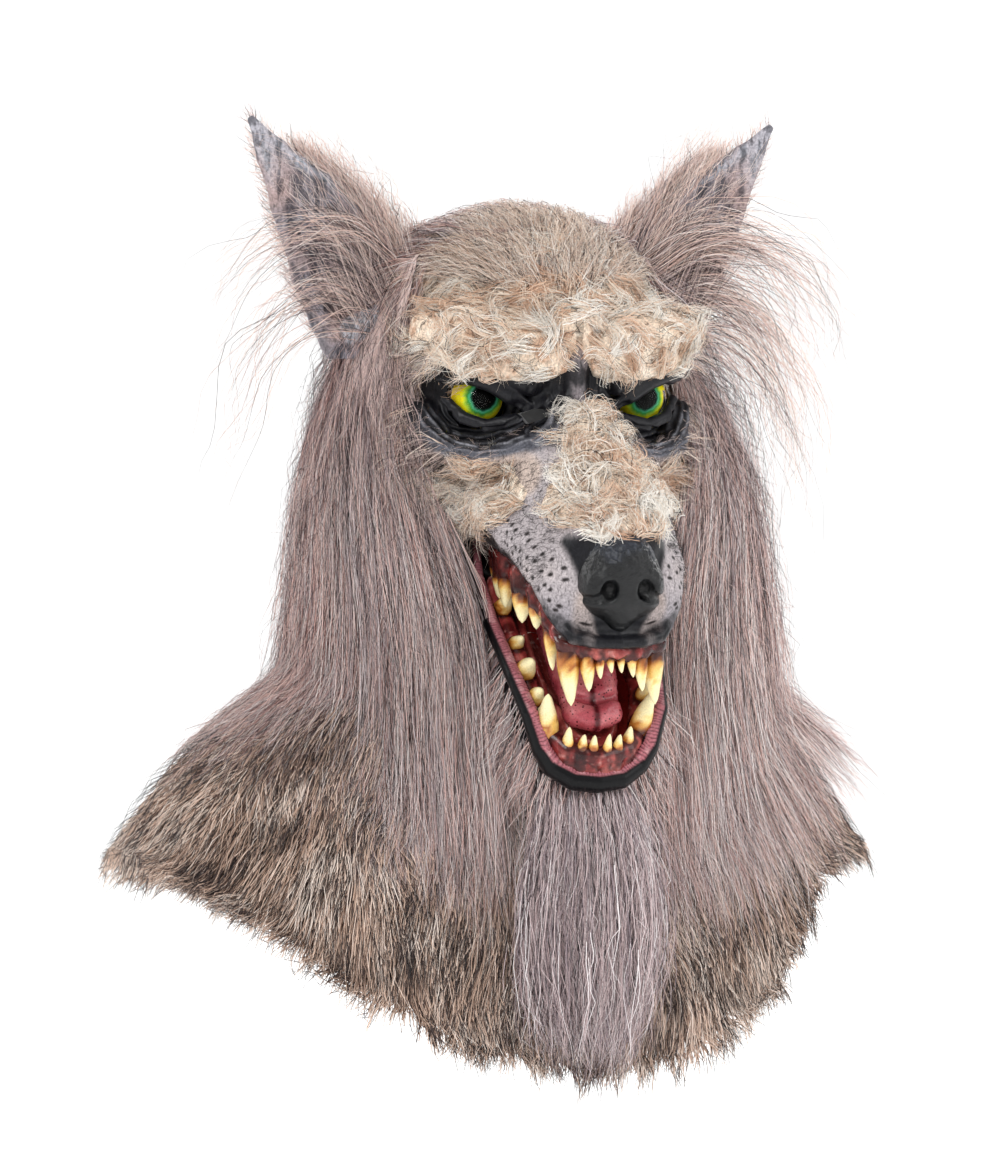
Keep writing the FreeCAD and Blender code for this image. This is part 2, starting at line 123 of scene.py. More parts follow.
def line_distance(points, line):
    """Distance from each point to a polyline, and how far along it, 0 to 1."""
    line = np.asarray(line, float)
    best = np.full(len(points), 1e9)
    along = np.zeros(len(points))
    lengths = np.linalg.norm(np.diff(line, axis=0), axis=1)
    starts = np.concatenate(([0], np.cumsum(lengths)))
    for k in range(len(line) - 1):
        ray = line[k + 1] - line[k]
        t = np.clip((points - line[k]) @ ray / (ray @ ray), 0, 1)
        gap = np.linalg.norm(points - line[k] - t[:, None] * ray, axis=1)
        nearer = gap < best
        best[nearer] = gap[nearer]
        along[nearer] = (starts[k] + t[nearer] * lengths[k]) / starts[-1]
    return best, along


def both(points):
    """Points folded onto the wearer's left half."""
    folded = points.copy()
    folded[:, 0] = abs(folded[:, 0])
    return folded


def curve_through(points, count):
    """Evenly spaced points on a smooth line through the given ones."""
    points = np.asarray(points, float)
    padded = np.vstack((2 * points[0] - points[1], points, 2 * points[-1] - points[-2]))
    fine = []
    for k in range(1, len(padded) - 2):
        a, b, c, d = padded[k - 1:k + 3]
        t = np.linspace(0, 1, 12, endpoint=False)[:, None]
        fine.append(0.5 * (2 * b + (c - a) * t + (2 * a - 5 * b + 4 * c - d) * t ** 2
                           + (3 * b - a - 3 * c + d) * t ** 3))
    fine = np.vstack(fine + [points[-1:]])
    lengths = np.concatenate(([0], np.cumsum(np.linalg.norm(np.diff(fine, axis=0), axis=1))))
    want = np.linspace(0, lengths[-1], count)
    return np.stack([np.interp(want, lengths, fine[:, i]) for i in range(3)], axis=1)


# ---- clay ---------------------------------------------------------------------------
def turn_matrix(turn):
    """Rotation matrix from degrees about X, Y and Z."""
    rx, ry, rz = (math.radians(v) for v in turn)
    (cx, sx), (cy, sy), (cz, sz) = ((math.cos(v), math.sin(v)) for v in (rx, ry, rz))
    about_x = np.array(((1, 0, 0), (0, cx, -sx), (0, sx, cx)))
    about_y = np.array(((cy, 0, sy), (0, 1, 0), (-sy, 0, cy)))
    about_z = np.array(((cz, -sz, 0), (sz, cz, 0), (0, 0, 1)))
    return about_z @ about_y @ about_x


class Clay:
    """Half a block of clay, x from 0 up, as a distance field: negative inside, millimetres."""

    def __init__(self, low, high, step):
        self.step = step
        self.low = np.array(low, float)
        self.axes = [np.arange(low[i], high[i] + step, step, dtype=np.float32) for i in range(3)]
        self.field = np.full([len(axis) for axis in self.axes], 40, np.float32)

    def window(self, low, high):
        spans = []
        for i in range(3):
            first, last = np.searchsorted(self.axes[i], (low[i], high[i]))
            spans.append(slice(max(first - 1, 0), last + 1))
        x, y, z = (self.axes[i][spans[i]] for i in range(3))
        return tuple(spans), x[:, None, None], y[None, :, None], z[None, None, :]

    def merge(self, spans, distance, soft, carve):
        old = self.field[spans]
        if carve:
            h = np.clip(0.5 - 0.5 * (distance + old) / soft, 0, 1)
            self.field[spans] = old * (1 - h) - distance * h + soft * h * (1 - h)
        else:
            h = np.clip(0.5 + 0.5 * (distance - old) / soft, 0, 1)
            self.field[spans] = distance * (1 - h) + old * h - soft * h * (1 - h)

    def oval(self, centre, radii, soft=8, turn=(0, 0, 0), carve=False):
        reach = max(radii) + soft + 3
        spans, x, y, z = self.window([c - reach for c in centre], [c + reach for c in centre])
        m = turn_matrix(turn).T
        dx, dy, dz = x - centre[0], y - centre[1], z - centre[2]
        p = [m[i, 0] * dx + m[i, 1] * dy + m[i, 2] * dz for i in range(3)]
        near = np.sqrt(sum((p[i] / radii[i]) ** 2 for i in range(3)))
        steep = np.sqrt(sum((p[i] / radii[i] ** 2) ** 2 for i in range(3))) + 1e-6
        self.merge(spans, near * (near - 1) / steep, soft, carve)

    def stroke(self, line, radii, soft=6, carve=False, scale=(1, 1, 1)):
        """A worm of clay along a line, its radius changing from point to point."""
        line = np.asarray(line, float)
        radii = np.broadcast_to(np.asarray(radii, float), len(line))
        scale = np.asarray(scale, float)
        reach = (radii.max() + soft + 3) / scale.min()
        spans, x, y, z = self.window(line.min(axis=0) - reach, line.max(axis=0) + reach)
        total = None
        for k in range(len(line) - 1):
            a, ray = line[k] * scale, (line[k + 1] - line[k]) * scale
            dx, dy, dz = x * scale[0] - a[0], y * scale[1] - a[1], z * scale[2] - a[2]
            t = np.clip((dx * ray[0] + dy * ray[1] + dz * ray[2]) / (ray @ ray), 0, 1)
            gap = np.sqrt((dx - t * ray[0]) ** 2 + (dy - t * ray[1]) ** 2 + (dz - t * ray[2]) ** 2)
            distance = (gap - radii[k] - (radii[k + 1] - radii[k]) * t) / scale.max()
            total = distance if total is None else np.minimum(total, distance)
        self.merge(spans, total.astype(np.float32), soft, carve)

    def side_cut(self, outline, soft=3):
        """Cut away what a (y, z) outline covers, right through from side to side."""
        outline = np.asarray(outline, float)
        spans, _, y, z = self.window((-1, outline[:, 0].min() - 8, outline[:, 1].min() - 8),
                                     (1e3, outline[:, 0].max() + 8, outline[:, 1].max() + 8))
        y2, z2 = np.broadcast_arrays(y[0], z[0])
        best = np.full(y2.shape, 1e9)
        inside = np.zeros(y2.shape, bool)
        for a, b in zip(outline, np.roll(outline, -1, axis=0)):
            ray = b - a
            t = np.clip(((y2 - a[0]) * ray[0] + (z2 - a[1]) * ray[1]) / (ray @ ray), 0, 1)
            best = np.minimum(best, np.hypot(y2 - a[0] - t * ray[0], z2 - a[1] - t * ray[1]))
            edge = (b[0] - a[0]) * (z2 - a[1]) / (b[1] - a[1] + 1e-9) + a[0]
            inside ^= ((a[1] > z2) != (b[1] > z2)) & (y2 < edge)
        distance = np.where(inside, -best, best).astype(np.float32)[None]
        self.merge(spans, np.broadcast_to(distance, self.field[spans].shape), soft, True)

    def surface(self, mirror=True):
        """Points and quads of the surface, whole when the half is mirrored."""
        field = np.concatenate((self.field[:0:-1], self.field)) if mirror else self.field
        low = self.low.copy()
        if mirror:
            low[0] = -(self.field.shape[0] - 1) * self.step
        grid = openvdb.FloatGrid()
        grid.copyFromArray(np.ascontiguousarray(field), tolerance=0)
        points, quads = grid.convertToQuads(isovalue=0)
        return points * self.step + low, quads


def new_mesh(name, points, faces, material, smooth_shade=True):
    """A mesh object from millimetre points and equal-sided faces."""
    mesh = bpy.data.meshes.new(name)
    points = np.asarray(points, np.float32) * MM
    faces = np.asarray(faces, np.int32)
    sides = faces.shape[1]
    mesh.vertices.add(len(points))
    mesh.vertices.foreach_set("co", points.ravel())
    mesh.loops.add(faces.size)
    mesh.loops.foreach_set("vertex_index", faces.ravel())
    mesh.polygons.add(len(faces))
    mesh.polygons.foreach_set("loop_start", np.arange(0, faces.size, sides, dtype=np.int32))
    mesh.polygons.foreach_set("use_smooth", np.full(len(faces), smooth_shade))
    mesh.update(calc_edges=True)
    mesh.validate()
    for one in (material if isinstance(material, (list, tuple)) else [material]):
        mesh.materials.append(one)
    obj = bpy.data.objects.new(name, mesh)
    bpy.context.collection.objects.link(obj)
    return obj


def normals_of(points, quads):
    """Smooth normals at the points of a quad mesh."""
    a, b, c, d = (points[quads[:, i]] for i in range(4))
    face = np.cross(c - a, d - b)
    total = np.zeros_like(points)
    for i in range(4):
        for axis in range(3):
            total[:, axis] += np.bincount(quads[:, i], face[:, axis], len(points))
    return total / (np.linalg.norm(total, axis=1)[:, None] + 1e-9)


def compact(points, quads, *arrays):
    """Drop the points that no quad uses."""
    used = np.unique(quads)
    index = np.full(len(points), -1)
    index[used] = np.arange(len(used))
    return (points[used], index[quads], *(array[used] for array in arrays))


def set_paint(obj, colours, gloss=None):
    """Store a colour, and a roughness, at every point of the mesh."""
    layer = obj.data.color_attributes.new("paint", "FLOAT_COLOR", "POINT")
    rgba = np.column_stack((colours, np.ones(len(colours)))).astype(np.float32)
    layer.data.foreach_set("color", rgba.ravel())
    if gloss is not None:
        rough = obj.data.attributes.new("rough", "FLOAT", "POINT")
        rough.data.foreach_set("value", gloss.astype(np.float32))


def layered(base, *layers):
    """Lay colours over a base, each with its own weight at every point."""
    colours = np.array(base, float)
    for colour, weight in layers:
        colours = colours * (1 - weight[:, None]) + np.asarray(colour) * weight[:, None]
    return colours


# ---- materials ----------------------------------------------------------------------
class Nodes:
    """Short names for building a material's node tree."""

    def __init__(self, name):
        self.material = bpy.data.materials.new(name)
        self.material.use_nodes = True
        self.tree = self.material.node_tree
        self.shader = self.tree.nodes["Principled BSDF"]

    def add(self, kind, **values):
        node = self.tree.nodes.new(kind)
        for key, value in values.items():
            if key in node.inputs:
                node.inputs[key].default_value = value
            else:
                setattr(node, key, value)
        return node

    def link(self, out, into):
        self.tree.links.new(out, into)
        return self

    def set(self, **values):
        for key, value in values.items():
            self.shader.inputs[key.replace("_", " ")].default_value = value
        return self


def solid_material(name, colour, roughness, sheen=0.0, coat=0.0):
    """One plain colour, for a single tone of hair or thread."""
    nodes = Nodes(name).set(Base_Color=(*colour, 1), Roughness=roughness, Sheen_Weight=sheen,
                            Coat_Weight=coat)
    return nodes.material


def scaled_by(nodes, colour, value, old, new):
    """A colour times a value, which is first mapped from one range to another."""
    span = nodes.add("ShaderNodeMapRange")
    for key, number in zip(("From Min", "From Max", "To Min", "To Max"), (*old, *new)):
        span.inputs[key].default_value = number
    tint = nodes.add("ShaderNodeVectorMath", operation="SCALE")
    nodes.link(value, span.inputs["Value"])
    nodes.link(colour, tint.inputs[0]).link(span.outputs["Result"], tint.inputs["Scale"])
    return tint.outputs["Vector"]


def add_bump(nodes, height, strength, distance):
    raised = nodes.add("ShaderNodeBump", Strength=strength, Distance=distance)
    nodes.link(height, raised.inputs["Height"])
    nodes.link(raised.outputs["Normal"], nodes.shader.inputs["Normal"])


def painted_material(name, roughness, coat=0.0, grain=1.2, mottle=0.25, bump=0.25, use_rough=False,
                     strokes=0.0,
                     shine=0.22, dots=0.0):
    """Airbrushed latex: stored paint, broken up by fine speckle, pores and dry-brushed strokes."""
    nodes = Nodes(name).set(Roughness=roughness, Coat_Weight=coat, Coat_Roughness=0.12, Coat_IOR=1.3,
                            Specular_IOR_Level=shine)
    paint = nodes.add("ShaderNodeAttribute", attribute_name="paint")
    place = nodes.add("ShaderNodeTexCoord")
    speckle = nodes.add("ShaderNodeTexNoise", Scale=1000 / grain, Detail=3.0)
    nodes.link(place.outputs["Object"], speckle.inputs["Vector"])
    colour = scaled_by(nodes, paint.outputs["Color"], speckle.outputs["Fac"], (0.3, 0.7),
                       (1 - mottle, 1 + mottle))
    if strokes:
        stretch = nodes.add("ShaderNodeMapping")
        stretch.inputs["Scale"].default_value = (900, 220, 260)
        stretch.inputs["Rotation"].default_value = (0.6, 0.4, 0.5)
        brushed = nodes.add("ShaderNodeTexNoise", Scale=1.0, Detail=2.0)
        nodes.link(place.outputs["Object"], stretch.inputs["Vector"])
        nodes.link(stretch.outputs["Vector"], brushed.inputs["Vector"])
        colour = scaled_by(nodes, colour, brushed.outputs["Fac"], (0.56, 0.66), (1.0, 1 - strokes))
    if dots:
        pits = nodes.add("ShaderNodeTexVoronoi", Scale=1000 / dots)
        nodes.link(place.outputs["Object"], pits.inputs["Vector"])
        colour = scaled_by(nodes, colour, pits.outputs["Distance"], (0.16, 0.26), (0.12, 1.0))
    nodes.link(colour, nodes.shader.inputs["Base Color"])
    if use_rough:
        rough = nodes.add("ShaderNodeAttribute", attribute_name="rough")
        nodes.link(rough.outputs["Fac"], nodes.shader.inputs["Roughness"])
    pores = nodes.add("ShaderNodeTexNoise", Scale=1000 / (grain * 0.8), Detail=4.0)
    nodes.link(place.outputs["Object"], pores.inputs["Vector"])
    add_bump(nodes, pores.outputs["Fac"], bump, 0.0006)
    return nodes.material


# ---- camera, light and floor --------------------------------------------------------
def make_stage():
    scene = bpy.context.scene
    scene.view_settings.view_transform = "Standard"
    turn, rise, distance = math.radians(-17.7), math.radians(2.97), 2.5587
    target = Vector((-0.022, -0.040, -0.1063))
    back = Vector((math.sin(turn) * math.cos(rise), -math.cos(turn) * math.cos(rise), math.sin(rise)))
    camera = bpy.data.objects.new("camera", bpy.data.cameras.new("camera"))
    camera.data.lens = 133.9
    camera.location = target + back * distance
    camera.rotation_euler = back.to_track_quat("Z", "Y").to_euler()
    camera.data.clip_end = 50
    bpy.context.collection.objects.link(camera)
    scene.camera = camera

    world = bpy.data.worlds.new("studio")
    world.use_nodes = True
    world.node_tree.nodes["Background"].inputs["Color"].default_value = (1, 1, 1, 1)
    world.node_tree.nodes["Background"].inputs["Strength"].default_value = 0.62
    scene.world = world

    lamps = (("key", (-1.1, -1.7, 1.25), 0.9, 26), ("fill", (1.5, -1.5, 0.5), 1.2, 14),
             ("rim_right", (1.3, 1.1, 0.9), 0.8, 16), ("rim_left", (-1.4, 1.0, 0.8), 0.8, 12))
    for name, spot, size, watts in lamps:
        light = bpy.data.lights.new(name, "AREA")
        light.size = size
        light.energy = watts
        lamp = bpy.data.objects.new(name, light)
        lamp.location = spot
        lamp.rotation_euler = (Vector(spot) - Vector((0, 0, -0.08))).to_track_quat("Z", "Y").to_euler()
        bpy.context.collection.objects.link(lamp)

    floor_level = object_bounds()[0][2] - 0.12
    rows = []
    bend = 12
    for k in range(bend + 1):
        angle = math.pi / 2 * k / bend
        rows.append((2.0 + 2.0 * math.sin(angle), floor_level + 2.0 - 2.0 * math.cos(angle)))
    rows = [(-6.0, floor_level)] + rows + [(4.0, 7.0)]
    points, faces = [], []
    for y, z in rows:
        points += [(-9e3, y * 1e3, z * 1e3), (9e3, y * 1e3, z * 1e3)]
    for k in range(len(rows) - 1):
        faces.append((2 * k, 2 * k + 1, 2 * k + 3, 2 * k + 2))
    paper = Nodes("paper").set(Base_Color=(0.9, 0.9, 0.9, 1), Roughness=0.9, Emission_Color=(1, 1, 1, 1),
                               Emission_Strength=0.35).material
    new_mesh("backdrop", points, faces, paper)


# ---- face ---------------------------------------------------------------------------
def sculpt_face():
    """Front of the head: brow, sockets, muzzle and upper lip."""
    step = 0.85
    clay = Clay((0, -214, -156), (97, -22, 118), step)
    clay.oval((0, 0, 6), (88, 107, 101), 2)
    clay.oval((0, 2, -62), (81, 90, 84), 16)
    clay.stroke(((0, 8, -120), (0, 8, -175)), 73, 12)
    # muzzle: bridge, block at the nose and hanging upper lips
    clay.oval((0, -132, -50), (39, 66, 37), 18, (38, 0, 0))
    clay.stroke(((0, -104, -8), (0, -134, -32), (0, -160, -56), (0, -176, -78)), (20, 19, 20, 24), 12)
    clay.oval((0, -170, -97), (34, 22, 33), 12)
    clay.stroke(((43, -90, -58), (41, -115, -64), (37, -140, -75), (31, -162, -91), (24, -173, -106),
                 (0, -177, -108)),
                (11, 13, 14, 16, 17, 17), 12)
    # brows, the fold between them, cheekbone and bag under the eye
    clay.stroke(((15, -106, 26), (34, -103, 34), (58, -92, 41), (77, -74, 42)), (12, 13, 12, 9), 12)
    clay.stroke(((0, -110, 46), (0, -113, 22), (0, -110, 2)), (6, 6, 7), 6)
    clay.stroke(((78, -66, -4), (70, -82, -24), (50, -97, -31), (30, -108, -24)), (8, 8, 7, 6), 9)
    clay.stroke(((80, -52, -30), (66, -66, -52), (50, -72, -66)), (12, 14, 10), 14)
    # eye socket, then the lids that hug the eyeball
    clay.oval((49, -103, 3), (25, 17, 14), 6, (0, -12, -26), carve=True)
    clay.oval((28, -112, -6), (13, 10, 8), 6, (0, -20, 0), carve=True)
    clay.stroke(((71, -84, 15), (60, -95, 17), (47, -101, 13), (34, -103, 5), (25, -106, -3)),
                (4, 4.5, 5, 4.5, 3), 4)
    clay.stroke(((74, -82, 27), (56, -97, 26), (40, -104, 21), (26, -109, 12)), (6, 6.5, 6.5, 5), 5)
    clay.stroke(((69, -85, 4), (61, -93, -6), (49, -98, -10.5), (37, -101, -8), (27, -106, -6)),
                (3, 3.2, 3.2, 3, 2.5), 3)
    clay.stroke(((33, -106, 0), (22, -111, -5), (14, -114, -10)), (3.6, 3.4, 2), 3, carve=True)
    clay.stroke(((70, -88, 10), (76, -81, 12)), (3.4, 2.2), 3, carve=True)
    clay.stroke(((6.5, -119, 34), (7.5, -121, 18), (5, -119, 4)), 1.7, 2.5, carve=True)
    clay.stroke(((13, -121, 30), (14, -122, 16), (12, -120, 4)), 1.3, 2.5, carve=True)
    clay.oval(EYE, (EYE_RADIUS + 0.4,) * 3, 1, carve=True)
    # open mouth: everything below the lip line, then the roof of the mouth inside the lips
    clay.side_cut(((-60, -77), (-80, -74), (-96, -75), (-126, -82), (-150, -89), (-168, -99), (-175, -110),
                   (-181, -121), (-187, -129), (-198, -131), (-230, -131), (-230, -175), (-84, -175),
                   (-78, -130), (-66, -92)), 3)
    clay.stroke(((0, -78, -112), (0, -110, -117), (0, -140, -122), (0, -158, -140)), (36, 38, 36, 25), 4,
                carve=True)
    clay.stroke(UPPER_LIP, (2, 2.6, 3, 3.2, 3.4, 3.6, 3.8, 4, 4, 4, 4), 4)
    clay.stroke(((22, -174, -118), (14, -181, -123), (0, -184, -124)), (4.5, 5.5, 6), 3)
    points, quads = clay.surface()
    keep = (points[quads][:, :, 1].max(axis=1) < -24) & (points[quads][:, :, 2].min(axis=1) > -153)
    return compact(points, quads[keep])


def eye_rings(points):
    """Oval distance from the eye's centre seen from the front, for the wrinkles around it."""
    p = both(points)
    x = (p[:, 0] - 47) / 1.35
    z = p[:, 2] - 3 + (p[:, 0] - 47) * 0.16
    return np.hypot(x, z), p


def crease_face(points, quads):
    """Wrinkles under the eyes and fine folds on the bridge."""
    normals = normals_of(points, quads)
    ring, p = eye_rings(points)
    wander = (noise(p, 14, 2) - 0.5) * 5 + (noise(p, 5, 3) - 0.5) * 1.4
    below = smooth(3 - p[:, 2] + abs(p[:, 0] - 47) * 0.1, 0, 12)
    zone = below * smooth(ring, 12, 15) * (1 - smooth(ring, 30, 36)) * (p[:, 1] < -60)
    depth = zone * 0.75 * np.cos(2 * np.pi * (ring + wander) / 3.4)
    side = smooth(-p[:, 1], 100, 120) * smooth(-p[:, 2], 30, 50)
    depth += side * (noise(p, 9, 4) - 0.5) * 1.2
    depth += (noise(p, 22, 5) - 0.5) * 1.5
    for k in range(4):
        fold = ((8 + 6 * k, -114, 26 - k), (9 + 6.5 * k, -114, 12 - 2 * k), (6 + 6 * k, -112, 0 - 4 * k))
        gap, _ = line_distance(p * (1, 0.3, 1), np.array(fold) * (1, 0.3, 1))
        depth -= 0.9 * np.exp(-(gap / 1.1) ** 2)
    return points + normals * depth[:, None]


def whisker_spots():
    """Places of the whisker dots on the wearer's left half of the muzzle."""
    random = np.random.RandomState(31)
    spots = []
    for row in range(6):
        for column in range(9):
            share = (column + 0.5 * (row % 2)) / 9
            y = -186 + 52 * share + random.uniform(-2, 2)
            z = -121 + 28 * share + row * 6.4 + random.uniform(-1.5, 1.5)
            spots.append((y, z))
    return spots


def paint_face(points):
    ring, p = eye_rings(points)
    lip, _ = line_distance(p, UPPER_LIP)
    light, cream = srgb(172, 165, 168), srgb(206, 180, 158)
    black, grey = srgb(24, 24, 28), srgb(112, 110, 118)
    broad = noise(p, 26, 11)
    fine = noise(p, 4, 12)
    base = srgb(176, 156, 146)
    muzzle = smooth(-p[:, 1], 92, 112) * smooth(-p[:, 2], 4, 30)
    bridge_patch = muzzle * smooth(broad, 0.45, 0.65)
    front = smooth(-p[:, 1], 168, 184) * smooth(-p[:, 2], 96, 116)
    around_eye = (1 - smooth(ring, 25, 37)) * (p[:, 1] < -55)
    # rim: the lower bulge of the bag under the eye is painted a lighter grey-blue, grey-blue paint that is
    # also a painted highlight on the bulge
    rim = around_eye * smooth(ring, 24, 33) * smooth(-p[:, 2], 4, 16)
    groove = 0.5 - 0.5 * np.cos(2 * np.pi * (ring + (noise(p, 14, 2) - 0.5) * 5
                                             + (noise(p, 5, 3) - 0.5) * 1.4) / 3.4)
    # painted highlight: the raised ridges of the wrinkles under the eye are painted lighter
    ridge_highlight = around_eye * (1 - groove) ** 3 * smooth(ring, 15, 24) * smooth(3 - p[:, 2], 0, 12) * fine
    inner = smooth(-p[:, 1], 98,
                   106) * (1 - smooth(abs(p[:, 2] - 6), 18, 34)) * (1 - smooth(p[:, 0], 26, 36))
    colours = layered(
        base,
        (light, muzzle * 0.9),
        (cream, bridge_patch * 0.5),
        (grey, front * 0.55),
        (grey, inner * 0.8),
        (black, smooth(around_eye, 0.15, 0.55)),
        (srgb(150, 152, 165), rim * 0.75),
        (srgb(150, 150, 158), ridge_highlight * 1.2),
        (black, inner * smooth(noise(p * (1, 0.3, 0.25), 3.2, 15), 0.5, 0.62) * 0.9),
    )
    dots = np.zeros(len(p))
    for y, z in whisker_spots():
        near = np.hypot(p[:, 1] - y, p[:, 2] - z)
        dots = np.maximum(dots, (1 - smooth(near, 0.8, 1.6)) * (p[:, 0] > 8))
    # under_nose: the skin behind and under the nose is painted black, black paint round the nose that is
    # also a painted shade where this skin shows through the nostrils
    nose_edge = 13 + 0.35 * (p[:, 2] + 128)
    under_nose = smooth(-p[:, 1], 174, 179) * smooth(nose_edge - p[:, 0], -2, 3) * smooth(-p[:, 2], 66, 74)
    lip_black = np.maximum(1 - smooth(lip + (fine - 0.5) * 3, 3.5, 8), under_nose)
    inside = mouth_inside(p)
    # the inside of the mouth is painted dark red, and near black towards its back: a painted shade deep in
    # the open mouth
    colours = layered(colours, (srgb(40, 34, 34), dots * muzzle), (black, lip_black),
                      (srgb(70, 12, 12), inside), (srgb(8, 4, 4), inside * smooth(p[:, 1], -120, -80)))
    gloss = 0.6 - 0.3 * lip_black - 0.25 * smooth(around_eye, 0.2, 0.6) - 0.3 * inside
    return colours, np.clip(gloss, 0.22, 0.7)


def mouth_inside(p):
    """1 on the roof and back of the mouth, 0 on the outer skin."""
    lip_height = np.interp(-p[:, 1], [-v[1] for v in UPPER_LIP], [v[2] for v in UPPER_LIP])
    half_width = np.interp(-p[:, 1], [-v[1] for v in UPPER_LIP], [v[0] for v in UPPER_LIP])
    return (smooth(half_width - p[:, 0], 2, 5) * smooth(-p[:, 1], 60, 64)
            * (1 - smooth(p[:, 2] - lip_height, 10, 15)) * (p[:, 1] > -172))


def make_face():
    points, quads = sculpt_face()
    points = crease_face(points, quads)
    colours, gloss = paint_face(points)
    skin = painted_material("face_skin", 0.5, grain=1.3, mottle=0.35, use_rough=True, strokes=0.45)
    face = new_mesh("face_skin", points, quads, skin)
    set_paint(face, colours, gloss)
    finish_piece(face, HEAD, ("face_latex",))
    return points, quads


def finish_piece(obj, body, replaced=()):
    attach(obj, body)
    if replaced:
        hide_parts(*replaced)
    return obj


# ---- nose ---------------------------------------------------------------------------
def make_nose():
    clay = Clay((0, -216, -134), (34, -166, -60), 0.6)
    clay.oval((0, -187, -95), (20.5, 19, 27), 2, (8, 0, 0))
    clay.oval((0, -192, -84), (16, 15, 15), 8)
    clay.oval((13.5, -190, -99), (11, 16, 14.5), 7)
    clay.stroke(((0, -192, -106), (0, -188, -120)), (8, 4), 6)
    clay.oval((11.5, -207, -101), (5.2, 9, 6.4), 3, (0, -14, 16), carve=True)
    clay.stroke(((14, -205, -105), (20, -200, -106), (24, -192, -104)), (3.2, 2.0, 1.2), 3, carve=True)
    clay.stroke(((0, -212, -104), (0, -207, -115), (0, -199, -128)), (1.0, 1.5, 1.6), 3, carve=True)
    points, quads = clay.surface()
    normals = normals_of(points, quads)
    top = smooth(points[:, 2], -98, -84)
    pebble = noise(points, 2.4, 21) * 0.6 + noise(points, 1.4, 22) * 0.4
    points = points + normals * ((pebble - 0.45) * (0.5 + 1.1 * top))[:, None]
    # the top of the nose is painted a lighter grey-blue, brushed paint that also stands for the highlights
    # on the wet top; the tops of its pebbles are lighter still, a painted highlight
    brushed = smooth(points[:, 2] + noise(points, 9, 23) * 12, -80, -66)
    # pit: deep inside the nostrils the black is painted darker still, a painted shade
    pit = smooth(-points[:, 1], 185, 198) * (np.hypot(both(points)[:, 0] - 11.5, points[:, 2] + 101) < 5)
    colours = layered(srgb(6, 7, 9), (srgb(60, 66, 80), brushed * 0.4),
                      (srgb(120, 126, 140), brushed * smooth(pebble, 0.55, 0.75) * 0.3),
                      (srgb(4, 4, 5), pit * 0.9))
    leather = painted_material("nose_latex", 0.16, coat=0.3, grain=0.9, mottle=0.3, bump=0.9,
                               use_rough=True, shine=0.3)
    nose = new_mesh("nose", points, quads, leather)
    set_paint(nose, colours, np.clip(0.16 + 0.2 * brushed, 0.12, 0.5))
    finish_piece(nose, HEAD, ("nose_pad",))


# ---- mouth --------------------------------------------------------------------------
UPPER_TEETH = {          # node: rows of root, tip, radius
    "upper_incisors": (((3.4, -182, -131), (3.4, -185, -147), 2.7),
                       ((9.3, -182, -131), (9.6, -185, -150), 3.2),
                       ((16, -180, -130), (16.4, -183, -158), 4.6)),
    "upper_canine": (((25.5, -175, -126), (25, -177, -166), 6.6),),
    "upper_cheek_teeth": (((36, -78, -84), (38, -79, -101), 4.0), ((36, -89, -87), (38.5, -91, -110), 5.2),
                          ((36, -98, -89), (38, -101, -114), 5.6), ((36, -128, -96), (38, -131, -122), 6.8),
                          ((34, -147, -104), (35, -149, -125), 5.0),
                          ((31, -160, -114), (31, -163, -146), 4.2)),
}
LOWER_TEETH = {
    "lower_incisors": (((3.7, -153, -202), (3.7, -161, -184), 3.2),
                       ((10.6, -152, -201), (10.8, -160, -184), 3.5),
                       ((17.6, -149, -199), (18.4, -157, -180), 4.0)),
    "lower_canine": (((25.5, -139, -194), (31, -159, -160), 6.8),),
    "lower_cheek_teeth": (((36, -80, -122), (35, -101, -109), 5.4),
                          ((35.5, -101, -142), (34, -120, -130), 5.0),
                          ((35, -116, -156), (33.5, -138, -142), 6.6),
                          ((33, -128, -171), (32, -149, -158), 5.4),
                          ((30, -136, -183), (31, -155, -166), 4.4)),
}


def tooth_surface(root, tip, radius, random):
    """Curved cone with a swollen neck: points, quads and how far along each point lies."""
    rings, sides = 16, 14
    root, tip = np.array(root, float), np.array(tip, float)
    axis = tip - root
    length = np.linalg.norm(axis)
    axis /= length
    across = np.cross(axis, (0, 1, 0.2))
    across /= np.linalg.norm(across)
    deep = np.cross(axis, across)
    bow = random.uniform(0.02, 0.06) * length
    points, shares = [], []
    for k in range(rings + 1):
        share = k / rings
        width = radius * (0.82 + 0.22 * math.sin(min(share * 4, math.pi))) * (1
                                                                              - share ** 3.0) ** 0.66 + 0.3
        centre = root + axis * length * share - deep * bow * math.sin(math.pi * share)
        for j in range(sides):
            angle = 2 * math.pi * j / sides
            wobble = 1 + 0.05 * math.sin(3 * angle + share * 4 + root[1])
            points.append(centre + (across * math.cos(angle) * 0.92 + deep * math.sin(angle)) * width
                          * wobble)
            shares.append(share)
    quads = []
    for k in range(rings):
        for j in range(sides):
            a, b = k * sides + j, k * sides + (j + 1) % sides
            quads.append((a, b, b + sides, a + sides))
    points += [root, tip + axis * 0.2]
    shares += [0, 1]
    for j in range(0, sides, 2):
        quads.append((len(points) - 2, (j + 2) % sides, j + 1, j))
        top = rings * sides
        quads.append((len(points) - 1, top + j, top + j + 1, top + (j + 2) % sides))
    return np.array(points), np.array(quads), np.array(shares)


